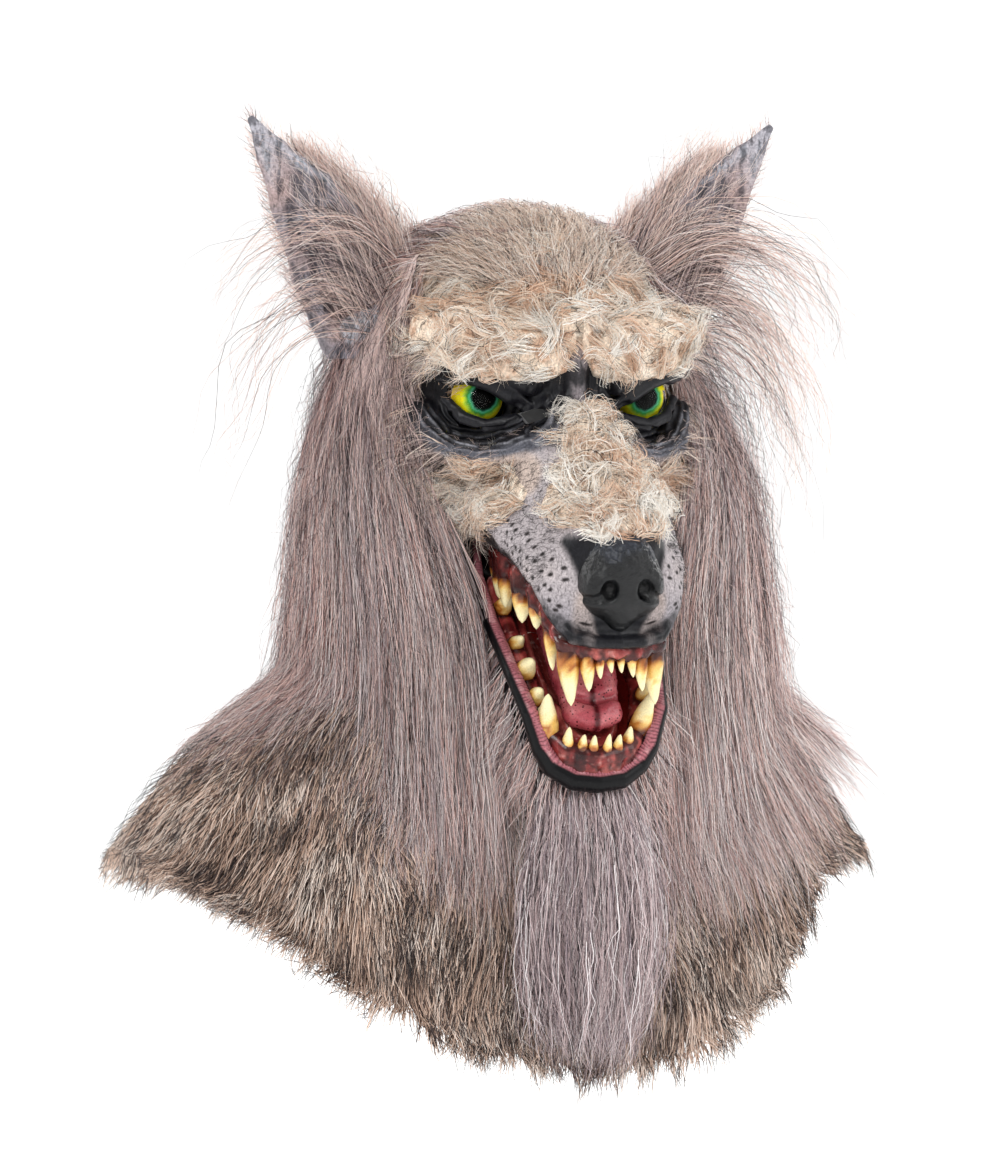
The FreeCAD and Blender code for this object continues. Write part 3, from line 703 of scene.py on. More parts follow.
def make_teeth(groups, body):
    ivory = bpy.data.materials.get("tooth_enamel") or painted_material(
        "tooth_enamel", 0.25, coat=0.4, grain=0.8, mottle=0.14, bump=0.2, shine=0.4)
    random = np.random.RandomState(5 if body == HEAD else 6)
    for node, rows in groups.items():
        whole = node.endswith("incisors")
        for side_name, side in SIDES:
            if whole and side < 0:
                continue
            points, quads, shares, count = [], [], [], 0
            for mirror in ((1, -1) if whole else (side,)):
                for root, tip, radius in rows:
                    drift = random.uniform(-0.7, 0.7, 3)
                    p, q, share = tooth_surface(root, np.array(tip) + drift,
                                                radius * random.uniform(0.93, 1.05), random)
                    if mirror < 0:
                        p = p * (-1, 1, 1)
                        q = q[:, ::-1]
                    points.append(p)
                    quads.append(q + count)
                    hidden = 8.5 / np.linalg.norm(np.subtract(tip, root))
                    shares.append((share - hidden) / (1 - hidden))
                    count += len(p)
            p, share = np.vstack(points), np.concatenate(shares)
            stain = share + (noise(p, 2.2, 41) - 0.5) * 0.35 + (noise(p, 6, 42) - 0.5) * 0.3
            colours = layered(srgb(238, 226, 178),
                              (srgb(236, 196, 104), 1 - smooth(stain, 0.3, 0.75)),
                              (srgb(178, 100, 36), 1 - smooth(stain, 0.2, 0.46)),
                              (srgb(58, 20, 12), 1 - smooth(stain, 0.06, 0.28)))
            name = node if whole else node + "_" + side_name
            teeth = new_mesh("tooth_" + name, p, np.vstack(quads), ivory)
            set_paint(teeth, colours)
            finish_piece(teeth, body, (name,))


def gum_paint(points, groups, seed):
    """Wet red, painted darker in the creases round the teeth, a painted shade."""
    p = both(points)
    broad = noise(points, 7, seed)
    crease = np.full(len(points), 99.0)
    for rows in groups.values():
        for root, tip, radius in rows:
            gap, _ = line_distance(p, (root, tip))
            crease = np.minimum(crease, gap - radius)
    # painted shade in the creases where the gum meets each tooth
    dark = 1 - smooth(crease + (noise(points, 2.5, seed + 2) - 0.5) * 2, 0.4, 2.6)
    return layered(srgb(132, 48, 46), (srgb(182, 96, 88), smooth(broad, 0.5, 0.8) * 0.7),
                   (srgb(74, 18, 20), smooth(1 - broad, 0.55, 0.85)),
                   (srgb(214, 150, 142), smooth(noise(points, 2.5, seed + 1), 0.7, 0.9) * 0.5),
                   (srgb(26, 8, 8), dark * 0.85))


def root_swellings(clay, groups, reach):
    """The gum bulges round each tooth."""
    for rows in groups.values():
        for root, tip, radius in rows:
            root, tip = np.array(root, float), np.array(tip, float)
            axis = (tip - root) / np.linalg.norm(tip - root)
            clay.stroke((root - axis * 2, root + axis * reach), (radius + 1.4, radius + 0.5), 2.5)


def make_upper_mouth(gum_material):
    clay = Clay((0, -196, -152), (44, -56, -56), 0.75)
    clay.stroke(((0, -64, -74), (0, -110, -82), (0, -150, -98), (0, -166, -118)), (24, 28, 26, 17), 2)
    clay.stroke(UPPER_GUM, (4, 4.6, 5, 5.4, 6.2, 6, 5.6, 5.6), 6)
    root_swellings(clay, UPPER_TEETH, 6)
    clay.stroke(((0, -60, -118), (0, -110, -131), (0, -150, -145), (0, -162, -152)), (24, 25, 23, 17), 5,
                carve=True)
    points, quads = clay.surface()
    normals = normals_of(points, quads)
    roof = smooth(18 - abs(points[:, 0]), 0, 8) * smooth(-points[:, 1], 70, 90)
    points = points + normals * (roof * 0.9 * np.cos(2 * np.pi * (points[:, 1] + abs(points[:, 0]) * 0.5)
                                                     / 7.5))[:, None]
    points[:, 1] += 6 * smooth(-points[:, 1], 166, 176) * smooth(points[:, 2], -131, -126)
    gum = new_mesh("upper_gum_and_palate", points, quads, gum_material)
    set_paint(gum, gum_paint(points, UPPER_TEETH, 51), np.full(len(points), 0.2))
    finish_piece(gum, HEAD, ("upper_gum", "palate"))


def beside(points, line, up):
    """Where points lie beside a polyline: distance inwards, distance up, and share of its length."""
    line = np.asarray(line, float)
    _, along = line_distance(points, line)
    lengths = np.concatenate(([0], np.cumsum(np.linalg.norm(np.diff(line, axis=0), axis=1))))

    def place(shift):
        return np.stack([np.interp(along * lengths[-1] + shift, lengths, line[:, i]) for i in range(3)],
                        axis=1)

    nearest, ahead, behind = place(0), place(3), place(-3)
    inward = np.cross(ahead - behind, up)
    inward /= np.linalg.norm(inward, axis=1)[:, None] + 1e-9
    offset = points - nearest
    return (offset * inward).sum(axis=1), offset @ np.asarray(up), along


def make_jaw_skin():
    """Lower lip with its black rim and pink inner band, and the latex under it."""
    clay = Clay((0, -172, -236), (60, -52, -64), 0.7)
    inset = [(x - 3.5, y + 0.5, z + 0.5) for x, y, z in LOWER_LIP[:-2]] + [(14, -151, -209.5),
                                                                           (0, -152, -211)]
    clay.stroke(inset, (2.4, 3.6, 4.4, 4.8, 5.2, 5.6, 6, 6.4, 6.6), 2)
    clay.stroke(((37, -70, -112), (36, -98, -142), (33, -122, -172), (23, -133, -198), (0, -136, -206)),
                (7, 9, 11, 12, 13), 8)
    clay.stroke(((0, -78, -134), (0, -106, -168), (0, -128, -196)), (22, 22, 17), 12)
    clay.stroke(((0, -84, -84), (0, -110, -117), (0, -134, -149), (0, -150, -174)), (31, 32, 31, 23), 3,
                carve=True)
    groove = [(x - 9.5, y + 1, z + 3.5) for x, y, z in LOWER_LIP[:-3]] + [(20, -144, -202), (0, -147, -205)]
    clay.stroke(groove, 1.2, 2, carve=True)
    points, quads = clay.surface()
    normals = normals_of(points, quads)
    p = both(points)
    inward, above, along = beside(p, LOWER_LIP, (0, -0.8, 0.6))
    wrinkles = 0.5 + 0.5 * np.cos(2 * np.pi * (along * 105 + noise(p, 5, 61) * 1.6))
    band = smooth(inward, 0.5, 2) * (1 - smooth(inward, 7.5, 9)) * smooth(above, -3, 0)
    points = points - normals * (band * wrinkles ** 3 * 0.55)[:, None]
    edge = (noise(p, 3, 62) - 0.5) * 1.6
    # the pink band is painted darker in the grooves pressed between its wrinkles, a painted shade
    pink = layered(srgb(170, 104, 112), (srgb(70, 34, 42), wrinkles ** 3 * 0.7),
                   (srgb(206, 156, 158), smooth(noise(p, 4, 63), 0.6, 0.8) * 0.5))
    colours = layered(srgb(58, 50, 50), (srgb(7, 7, 9), 1 - smooth(-inward + edge, 7, 11)))
    colours = colours * (1 - band[:, None]) + pink * band[:, None]
    deep = smooth(inward, 9.5, 11.5)
    colours = layered(colours, (srgb(14, 14, 17), (1 - smooth(abs(inward - 8.8), 0.8, 2))),
                      (srgb(128, 34, 30), deep))
    latex = painted_material("jaw_latex_paint", 0.3, coat=0.15, grain=1.2, mottle=0.25, use_rough=True,
                             shine=0.15)
    jaw = new_mesh("jaw_lip", points, quads, latex)
    set_paint(jaw, colours, 0.34 - 0.1 * band - 0.1 * deep)
    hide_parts("jaw_latex")
    blend_to_jaw(jaw)


def blend_to_jaw(piece):
    """The skin stays where it is, its placement applied to its points."""
    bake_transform(piece)


def make_lower_mouth(gum_material):
    clay = Clay((0, -168, -222), (48, -56, -84), 0.75)
    clay.stroke(LOWER_GUM, (4.4, 5, 5.2, 5.4, 6, 5.8, 5.4), 2)
    clay.stroke(((0, -78, -122), (0, -104, -152), (0, -128, -182), (0, -136, -192)), (26, 26, 20, 14), 6)
    clay.stroke(((0, -80, -92), (0, -106, -120), (0, -132, -150), (0, -148, -172)), (27, 28, 25, 16), 4,
                carve=True)
    root_swellings(clay, LOWER_TEETH, 3)
    points, quads = clay.surface()
    gum = new_mesh("lower_gum", points, quads, gum_material)
    set_paint(gum, gum_paint(points, LOWER_TEETH, 55), np.full(len(points), 0.2))
    finish_piece(gum, JAW, ("lower_gum",))


def make_tongue():
    clay = Clay((0, -168, -200), (30, -66, -88), 0.7)
    clay.stroke(((0, -78, -106), (0, -104, -131), (0, -128, -157), (0, -141, -173)), (10.5, 11, 10.5, 8.5),
                4,
                scale=(0.62, 1, 1))
    clay.stroke(((9.5, -80, -103), (10, -104, -127), (10, -128, -153), (9, -141, -170)), (8.5, 8.5, 8, 6),
                6)
    clay.stroke(((0, -146, -177), (11, -144, -174)), (6.2, 5.4), 6)
    clay.stroke(((0, -92, -102), (0, -118, -128), (0, -138, -154)), (1.6, 2.4, 1.4), 6, carve=True)
    clay.stroke(((0, -146, -166), (13, -142, -164)), (2.0, 1.4), 5, carve=True)
    points, quads = clay.surface()
    normals = normals_of(points, quads)
    points = points + normals * ((noise(points, 3, 71) - 0.5) * 0.9)[:, None]
    side = smooth(abs(points[:, 0]), 12, 20)
    # the groove down the middle of the tongue is painted darker, a painted shade in the groove
    colours = layered(srgb(176, 78, 88),
                      (srgb(208, 124, 128), smooth(noise(points, 9, 73), 0.5, 0.8) * 0.6),
                      (srgb(120, 34, 44), side * 0.6),
                      (srgb(84, 20, 28), 1 - smooth(abs(points[:, 0]), 0.6, 3)))
    flesh = painted_material("tongue_flesh", 0.25, coat=0.3, grain=1.0, mottle=0.2, bump=0.3, shine=0.35,
                             dots=2.6)
    tongue = new_mesh("tongue_sculpt", points, quads, flesh)
    set_paint(tongue, colours)
    finish_piece(tongue, JAW, ("tongue",))


# ---- eyes ---------------------------------------------------------------------------
def make_eyes():
    """Painted ball under the clear dome."""
    rings, sides, radius = 48, 64, EYE_RADIUS - 1.9
    points, quads = [], []
    for k in range(rings + 1):
        slope = math.radians(84) * (k / rings)
        for j in range(sides):
            angle = 2 * math.pi * j / sides
            points.append((radius * math.sin(slope) * math.cos(angle), -radius * math.cos(slope) - 1e-3 * k,
                           radius * math.sin(slope) * math.sin(angle)))
    for k in range(rings):
        for j in range(sides):
            a, b = k * sides + j, k * sides + (j + 1) % sides
            quads.append((a, a + sides, b + sides, b))
    ball = np.array(points)
    reach = np.hypot(ball[:, 0], ball[:, 2])
    spoke = np.arctan2(ball[:, 2], ball[:, 0])
    ray = noise(np.column_stack((np.cos(spoke) * 9, np.sin(spoke) * 9, reach * 0.25)), 1.0, 81)
    colours = layered(srgb(252, 236, 26),
                      (srgb(232, 196, 20), smooth(reach, 13, 15) * 0.8),
                      (srgb(196, 226, 60), 1 - smooth(reach + ray * 1.2, 10.8, 12.4)),
                      (srgb(58, 150, 62), 1 - smooth(reach + ray * 1.6, 9.6, 11.6)),
                      (srgb(96, 196, 160), (1 - smooth(reach + ray * 1.4, 8.2, 9.8)) * 0.75),
                      (srgb(16, 60, 44), 1 - smooth(reach + ray * 1.0, 7.4, 8.8)),
                      (srgb(2, 3, 3), 1 - smooth(reach + ray * 0.5, 6.4, 7.6)))
    iris = painted_material("iris_paint", 0.6, grain=0.7, mottle=0.1, bump=0.05, shine=0.05)
    clear = Nodes("clear_dome").set(Base_Color=(1, 1, 1, 1), Roughness=0.01, IOR=1.12,
                                    Transmission_Weight=1.0).material
    for side_name, side in SIDES:
        turned = ball + EYE * (side, 1, 1) + (0, 0, 1.0)
        eye = new_mesh("eye_painted_" + side_name, turned, quads, iris)
        set_paint(eye, colours)
        finish_piece(eye, HEAD, ("eye_back_" + side_name,))
        bpy.data.objects["eye_dome_" + side_name].data.materials[0] = clear


# ---- ears ---------------------------------------------------------------------------
def make_ears():
    clay = Clay((48, -36, 28), (176, 50, 178), 0.9)
    spine = ((88, 10, 52), (104, 9, 84), (126, 6, 118), (147, 3, 146), (161, -1, 166))
    clay.stroke(spine, (34, 32, 22, 10.5, 2.6), 3, scale=(1, 1.9, 1))
    hollow = ((90, -9, 60), (106, -8, 88), (127, -5, 118), (146, -3, 143), (158, -4, 160))
    clay.stroke(hollow, (29, 27.5, 18, 7.6, 1.0), 3, carve=True, scale=(1, 1.7, 1))
    for start, end in (((84, 10, 62), (140, 6, 138)), ((96, 9, 62), (146, 4, 142)),
                       ((110, 8, 66), (150, 4, 146))):
        clay.stroke((start, end), (2.6, 1.6), 4)
    clay.stroke(((70, 0, 56), (86, -6, 50), (100, -2, 46)), (10, 9, 8), 8)
    points, quads = clay.surface(mirror=False)
    normals = normals_of(points, quads)
    points = points + normals * ((noise(points, 8, 91) - 0.5) * 1.4)[:, None]
    front = smooth(-normals[:, 1], -0.1, 0.4)
    # depth: the lower, deeper part of the ear's hollow is painted near black, a painted shade in the hollow
    depth = smooth(points[:, 1], -4, 12) * front
    height = smooth(points[:, 2], 60, 165)
    streak = smooth(noise(points * (1, 1, 0.25), 3.4, 92), 0.5, 0.66)
    front_edge = np.interp(points[:, 2], (52, 84, 118, 146, 166), (-9, -8, -6, -3, -2.5))
    rim = 1 - smooth(points[:, 1] - front_edge, 2, 6)
    fine = smooth(noise(points * (1, 1, 0.3), 1.6, 95), 0.55, 0.7)
    colours = layered(srgb(160, 152, 158),
                      (srgb(206, 166, 148), smooth(noise(points, 20, 93), 0.3, 0.9) * 0.6),
                      (srgb(150, 154, 168), front * smooth(noise(points, 12, 94), 0.3, 0.8) * 0.7),
                      (srgb(120, 124, 138), height * 0.5),
                      (srgb(34, 33, 40), depth * (1 - height) * 0.8),
                      (srgb(52, 52, 62), streak * front * 0.7),
                      (srgb(196, 202, 212), rim * 0.8 * (1 - 0.6 * smooth(height, 0.7, 1))),
                      (srgb(40, 40, 48), fine * (0.35 + 0.3 * rim)))
    skin = painted_material("ear_skin", 0.55, grain=1.4, mottle=0.35, strokes=0.4)
    for side_name, side in SIDES:
        faces = quads if side > 0 else quads[:, ::-1]
        ear = new_mesh("ear_skin_" + side_name, points * (side, 1, 1), faces, skin)
        set_paint(ear, colours)
        finish_piece(ear, HEAD, ("ear_" + side_name,))


# ---- rounded bodies that the soft pieces follow --------------------------------------
# each row: height, half width, depth in front, depth behind; the last two close the head at the crown
HEAD_ROWS = np.array((
    (-152, 76, 66, 84), (-125, 76, 76, 88), (-100, 79, 86, 92), (-70, 83, 92, 96), (-35, 87, 97, 100),
    (0, 88, 103, 103), (35, 88, 109, 104), (60, 84, 103, 100), (85, 72, 84, 88), (102, 50, 58, 66),
                      (111, 22, 26, 34),
    (113.5, 6, 6, 8), (114, 0.1, 0.1, 0.1)))
MANE_ROWS = np.array((
    (-300, 158, 142, 162), (-240, 164, 134, 160), (-180, 160, 118, 150), (-120, 154, 110, 140),
                      (-60, 146, 100, 134),
    (0, 132, 86, 124), (40, 118, 74, 114), (82, 96, 56, 100), (104, 70, 40, 78), (118, 30, 20, 40)))
BIB_ROWS = np.array((
    (-400, 258, 157, 148), (-320, 256, 145, 144), (-270, 248, 126, 138), (-235, 226, 106, 132),
                     (-200, 192, 90, 124),
    (-165, 142, 84, 112), (-128, 88, 78, 96)))
HEAD_SQUARE, BIB_SQUARE = 2.2, 2.3      # 2 is an oval, more is squarer
BIB_TURN = math.radians(5)
FUR_PILE = 14.0
HAIR_EDGE = np.array((        # how far from the middle the hair starts beside the face: height, x
    (-420, 40), (-300, 50), (-230, 52), (-160, 53), (-120, 56), (-84, 68), (-30, 84), (10, 87), (40, 84),
                      (90, 66), (120, 40)))


def around(rows, squareness, angle, height, inset=0.0, turn=0.0):
    """Points on a rounded body; angle 0 is the wearer's left, 90 degrees behind, -90 in front."""
    half, front, back = (np.interp(height, rows[:, 0], rows[:, k]) - inset for k in (1, 2, 3))
    power = 2 / squareness
    c, s = np.cos(angle), np.sin(angle)
    x = half * np.sign(c) * abs(c) ** power
    y = np.where(s < 0, front, back) * np.sign(s) * abs(s) ** power
    return np.stack((x * math.cos(turn) - y * math.sin(turn), x * math.sin(turn) + y * math.cos(turn),
                     height + 0 * angle), axis=-1)


def reach_of(rows, squareness, points, gap=0.0):
    """How far out points (x, y, height) lie, 1 on the surface of a rounded body made larger by gap."""
    x, y, height = points
    half, front, back = (np.interp(height, rows[:, 0], rows[:, k]) + gap for k in (1, 2, 3))
    deep = np.where(y < 0, front, back)
    return (abs(x / half) ** squareness + abs(y / deep) ** squareness) ** (1 / squareness)


def slab(name, outer, inner, material, closed=False):
    """A closed slab between two grids of points; closed joins the last column to the first."""
    rows, columns = outer.shape[:2]
    points = np.concatenate((outer.reshape(-1, 3), inner.reshape(-1, 3)))
    quads = []
    for r in range(rows - 1):
        for c in range(columns if closed else columns - 1):
            d = (c + 1) % columns
            face = (r * columns + c, r * columns + d, (r + 1) * columns + d, (r + 1) * columns + c)
            quads.append(face)
            quads.append(tuple(v + rows * columns for v in reversed(face)))
    border = [(0, c) for c in range(columns - 1)] + [(r, columns - 1) for r in range(rows - 1)] \
        + [(rows - 1, c) for c in range(columns - 1, 0, -1)] + [(r, 0) for r in range(rows - 1, 0, -1)]
    if closed:
        loops = [[(0, c % columns) for c in range(columns + 1)],
                 [(rows - 1, -c % columns) for c in range(columns + 1)]]
    else:
        loops = [border + border[:1]]
    for loop in loops:
        for (ra, ca), (rb, cb) in zip(loop, loop[1:]):
            a, b = ra * columns + ca, rb * columns + cb
            quads.append((b, a, a + rows * columns, b + rows * columns))
    return new_mesh(name, points, quads, material)


# ---- hair ---------------------------------------------------------------------------
QUADS_PER_PIECE = 90000
CORNER_ANGLES = (0, 2.0944, 4.1888)     # a strand is three-sided
MAUVE = ((214, 176, 168), (240, 210, 202), (250, 240, 236), (222, 210, 210), (172, 154, 156), (50, 40, 42),
         (164, 124, 116))
CREAM = ((246, 230, 212), (255, 250, 242), (238, 206, 180), (218, 178, 150), (24, 20, 22))
FUR = ((222, 192, 172), (244, 220, 204), (186, 156, 138), (76, 60, 56), (250, 234, 222), (24, 20, 22))


def tones(name, colours, roughness=0.45, sheen=0.0):
    return [solid_material(f"{name}_{k}", srgb(*colour), roughness, sheen) for k,
            colour in enumerate(colours)]


def strand_shares(steps):
    """Share of a strand's length at each of its steps, shaped like the paths."""
    return np.linspace(0, 1, steps)[None, :, None]


def laid_flat(direction, normals):
    """Directions turned to lie along the surface, at unit length."""
    direction = direction - normals * (direction * normals).sum(axis=1)[:, None]
    return direction / (np.linalg.norm(direction, axis=1)[:, None] + 1e-9)


def hair(name, paths, radius, tone, materials, body, replaced=()):
    """Tapering strands along paths (strand, step, xyz), split into pieces that aren't too heavy."""
    steps = paths.shape[1]
    ahead = np.gradient(paths, axis=1)
    ahead /= np.linalg.norm(ahead, axis=2, keepdims=True) + 1e-9
    side = np.cross(ahead, (0.31, 0.93, 0.2))
    side /= np.linalg.norm(side, axis=2, keepdims=True) + 1e-9
    deep = np.cross(ahead, side)
    width = radius[:, None] * (1 - 0.88 * np.linspace(0, 1, steps) ** 2.2)[None]
    corners = [paths + (side * math.cos(a) + deep * math.sin(a)) * width[..., None] for a in CORNER_ANGLES]
    points = np.stack(corners, axis=2)
    if tone.ndim == 1:
        tone = np.repeat(tone[:, None], steps - 1, axis=1)
    per_piece = QUADS_PER_PIECE // ((steps - 1) * 3)
    pieces = []
    for start in range(0, len(paths), per_piece):
        part = points[start:start + per_piece]
        index = np.arange(part.shape[0] * steps * 3).reshape(part.shape[0], steps, 3)
        turned = np.roll(index, -1, axis=2)
        quads = np.stack((index[:, :-1], turned[:, :-1], turned[:, 1:], index[:, 1:]), axis=-1).reshape(-1,
                                                                                                        4)
        number = start // per_piece
        piece = new_mesh(f"{name}_{number + 1}", part.reshape(-1, 3), quads, materials)
        slots = np.repeat(tone[start:start + per_piece].reshape(-1), 3).astype(np.int32)
        piece.data.polygons.foreach_set("material_index", slots)
        if body:
            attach(piece, body)
        if replaced and number == 0:
            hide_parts(*replaced)
        pieces.append(piece)
    return pieces


def spread(guides, count, steps, random, scatter, frizz, clumps=12):
    """Strands between neighbouring guide lines, gathered into clumps."""
    lines = np.stack([curve_through(guide, steps) for guide in guides])
    groups = max(count // clumps, 1)
    group = random.randint(groups, size=count)
    place = random.rand(groups)[group] + random.normal(0, 0.02, count)
    place = np.clip(place, 0, 1) * (len(lines) - 1)
    first = np.minimum(place.astype(int), len(lines) - 2)
    share = (place - first)[:, None, None]
    paths = lines[first] * (1 - share) + lines[first + 1] * share
    t = strand_shares(steps)
    root, tip = scatter
    paths = paths + random.normal(0, 1, (groups, 1, 3))[group] * (root * (1 - t) + tip * t)
    paths = paths + random.normal(0, 1, (count, 1, 3)) * (root * (1 - t) + tip * t) * 0.35
    return wavy(paths, random, frizz)


def wavy(paths, random, size, turns=(1.0, 3.0)):
    """Add a slow wave and a kink or two to every strand."""
    count, steps = paths.shape[:2]
    t = strand_shares(steps)
    phase = random.uniform(0, 2 * np.pi, (count, 1, 3))
    speed = random.uniform(*turns, (count, 1, 3)) * 2 * np.pi
    return paths + np.sin(phase + speed * t) * t * size * random.uniform(0.3, 1.6, (count, 1, 1))


def edge_angle(rows, height):
    """Angle round a body at which the hair starts beside the face."""
    x = np.interp(height, HAIR_EDGE[:, 0], HAIR_EDGE[:, 1])
    half = np.interp(height, rows[:, 0], rows[:, 1])
    return -np.arccos(np.clip(x / half, 0.0, 0.985) ** 1.1)


def mane_paths(side, lateral, root_height, end_height, depth, steps):
    """Strands rooted on the head that come out to the mane's outside and fall."""
    t = np.linspace(0, 1, steps)[None]
    z = root_height[:, None] + (end_height - root_height)[:, None] * t ** 1.1
    out = smooth(t * np.ones_like(z), -0.05, 0.42)
    head_edge = edge_angle(HEAD_ROWS, np.clip(z, -152, 111))
    mane_edge = edge_angle(MANE_ROWS, z)
    gathered = lateral[:, None]
    head_angle = head_edge + (np.pi / 2 - head_edge) * gathered
    mane_angle = mane_edge + (np.pi / 2 - mane_edge) * gathered
    on_head = around(HEAD_ROWS, HEAD_SQUARE, head_angle, np.clip(z, -152, 111))
    on_head[..., 2] = z
    on_mane = around(MANE_ROWS, HEAD_SQUARE, mane_angle, z, depth[:, None])
    paths = on_head * (1 - out[..., None]) + on_mane * out[..., None]
    paths = clear_of_bib(paths, 1.0 + depth[:, None] * 0.15)
    paths[..., 0] *= side
    return paths


def clear_of_bib(paths, gap):
    """Push points that have sunk into the bib out to its surface."""
    height = np.clip(paths[..., 2], -400, -128)
    reach = reach_of(BIB_ROWS, BIB_SQUARE, (paths[..., 0], paths[..., 1], height), gap)
    push = np.where((reach < 1) & (paths[..., 2] < -140), 1 / np.maximum(reach, 0.3), 1)
    paths[..., 0] *= push
    paths[..., 1] *= push
    return paths


def mane_tone(count, random, pink=0.5):
    """Tone of each strand, from a pinkish set or a grey one."""
    warm = random.choice((0, 1, 2, 6, 5), count, p=(0.3, 0.26, 0.18, 0.16, 0.10))
    cool = random.choice((3, 4, 2, 5, 1), count, p=(0.30, 0.30, 0.17, 0.13, 0.10))
    return np.where(random.rand(count) < pink, warm, cool)


def narrow_right(paths):
    """The wearer's right side of the mane lies closer to the head."""
    far = smooth(-paths[..., 0], 50, 150)
    paths[..., 0] *= 1 - 0.15 * far
    return paths


def side_strands(side, count, steps, random, clump=14):
    """Full-length strands of one side, gathered into locks."""
    groups = count // clump
    group = random.randint(groups, size=count)
    lateral = random.rand(groups)[group] ** 1.25 * 0.86
    lateral = np.clip(lateral + random.normal(0, 0.03, count), 0, 0.9)
    root = random.uniform(-145, 92, groups)[group] + random.normal(0, 7, count)
    front = 1 - smooth(lateral, 0.05, 0.45)
    end = -186 - 98 * front + random.uniform(-24, 24, groups)[group] + random.uniform(-12, 20, count)
    end = np.minimum(end, root - 70)
    depth = 1.0 + 20 * smooth(-root, -70,
                              150) + random.uniform(-2, 10, groups)[group] + random.normal(0, 1.5, count)
    paths = mane_paths(side, lateral, root, end, depth, steps)
    gather = random.normal(0, 1, (groups, 1, 3))[group]
    paths += gather * strand_shares(steps) ** 1.5 * (8, 5, 3)
    return clear_of_bib(narrow_right(paths), 1.0 + depth[:, None] * 0.15)


def short_lengths(paths, random, steps=7, frizz=3.0):
    """Crinkled shorter lengths of hair lying along longer paths, their ends standing off a little."""
    count = len(paths)
    first = random.uniform(-0.05, 0.8, count).clip(0)
    last = np.minimum(first + random.uniform(0.16, 0.42, count), 1.0)
    pieces = wavy(cut_between(paths, first, last, steps), random, frizz, (0.7, 2.4))
    away = pieces[:, :1] * (1, 1, 0)
    away /= np.linalg.norm(away, axis=2, keepdims=True) + 1e-9
    t = strand_shares(steps)
    return pieces + away * t ** 2 * random.uniform(-2, 8, (count, 1, 1))


def make_manes():
    shades = tones("mane_hair", MAUVE, 0.55)
    for side_name, side in SIDES:
        random = np.random.RandomState(101 if side > 0 else 102)
        long = side_strands(side, 3600, 10, random)
        long = wavy(long, random, 4.5, (0.8, 3.0))
        pink = noise(long[:, 5], 34, 104)
        hair("mane_hair_" + side_name, long, random.uniform(0.18, 0.4, len(long)),
             mane_tone(len(long), random, pink), shades,
             HEAD)
        short = short_lengths(side_strands(side, 12500, 16, random, 22), random)
        pink = noise(short[:, 3], 34, 104)
        hair("mane_fuzz_" + side_name, short, random.uniform(0.12, 0.28, len(short)),
             mane_tone(len(short), random, pink),
             shades, HEAD)
        count = 1500
        lateral = random.rand(count) ** 1.3 * 0.8
        root = random.uniform(-120, 92, count)
        end = root - random.uniform(40, 150, count)
        paths = narrow_right(mane_paths(side, lateral, root, np.maximum(end, -290),
                                        random.uniform(-12, 4, count), 8))
        hair("mane_strays_" + side_name, wavy(paths, random, 9, (0.6, 2.2)),
             random.uniform(0.09, 0.17, count),
             random.choice((1, 4, 5, 5), count), shades, HEAD)
    random = np.random.RandomState(103)
    count = 5600
    groups = count // 14
    group = random.randint(groups, size=count)
    top = random.rand(groups)[group] < 0.36
    lateral = np.where(top, 0.45, 0.8) + random.rand(groups)[group] * np.where(top, 0.57, 0.22)
    lateral += random.normal(0, 0.008, count)
    side = np.where(random.rand(groups)[group] < 0.5, -1, 1)
    root = np.where(top, random.uniform(86, 112, count),
                    random.uniform(-140, 100, groups)[group] + random.normal(0, 7, count))
    end = np.minimum(-232 + random.uniform(-22, 22, groups)[group] + random.uniform(-10, 12, count),
                     root - 70)
    depth = 1.5 + 20 * smooth(-root, -70, 150) + random.uniform(0, 9, groups)[group]
    paths = mane_paths(1, lateral, root, end, depth, 9)
    paths[..., 0] *= side[:, None]
    paths = wavy(narrow_right(paths), random, 4.0, (0.8, 3.0))
    pink = noise(paths[:, 4], 34, 104)
    hair("mane_hair_back", paths, random.uniform(0.28, 0.52, count), mane_tone(count, random, pink), shades,
         HEAD)
    make_mane_mass()


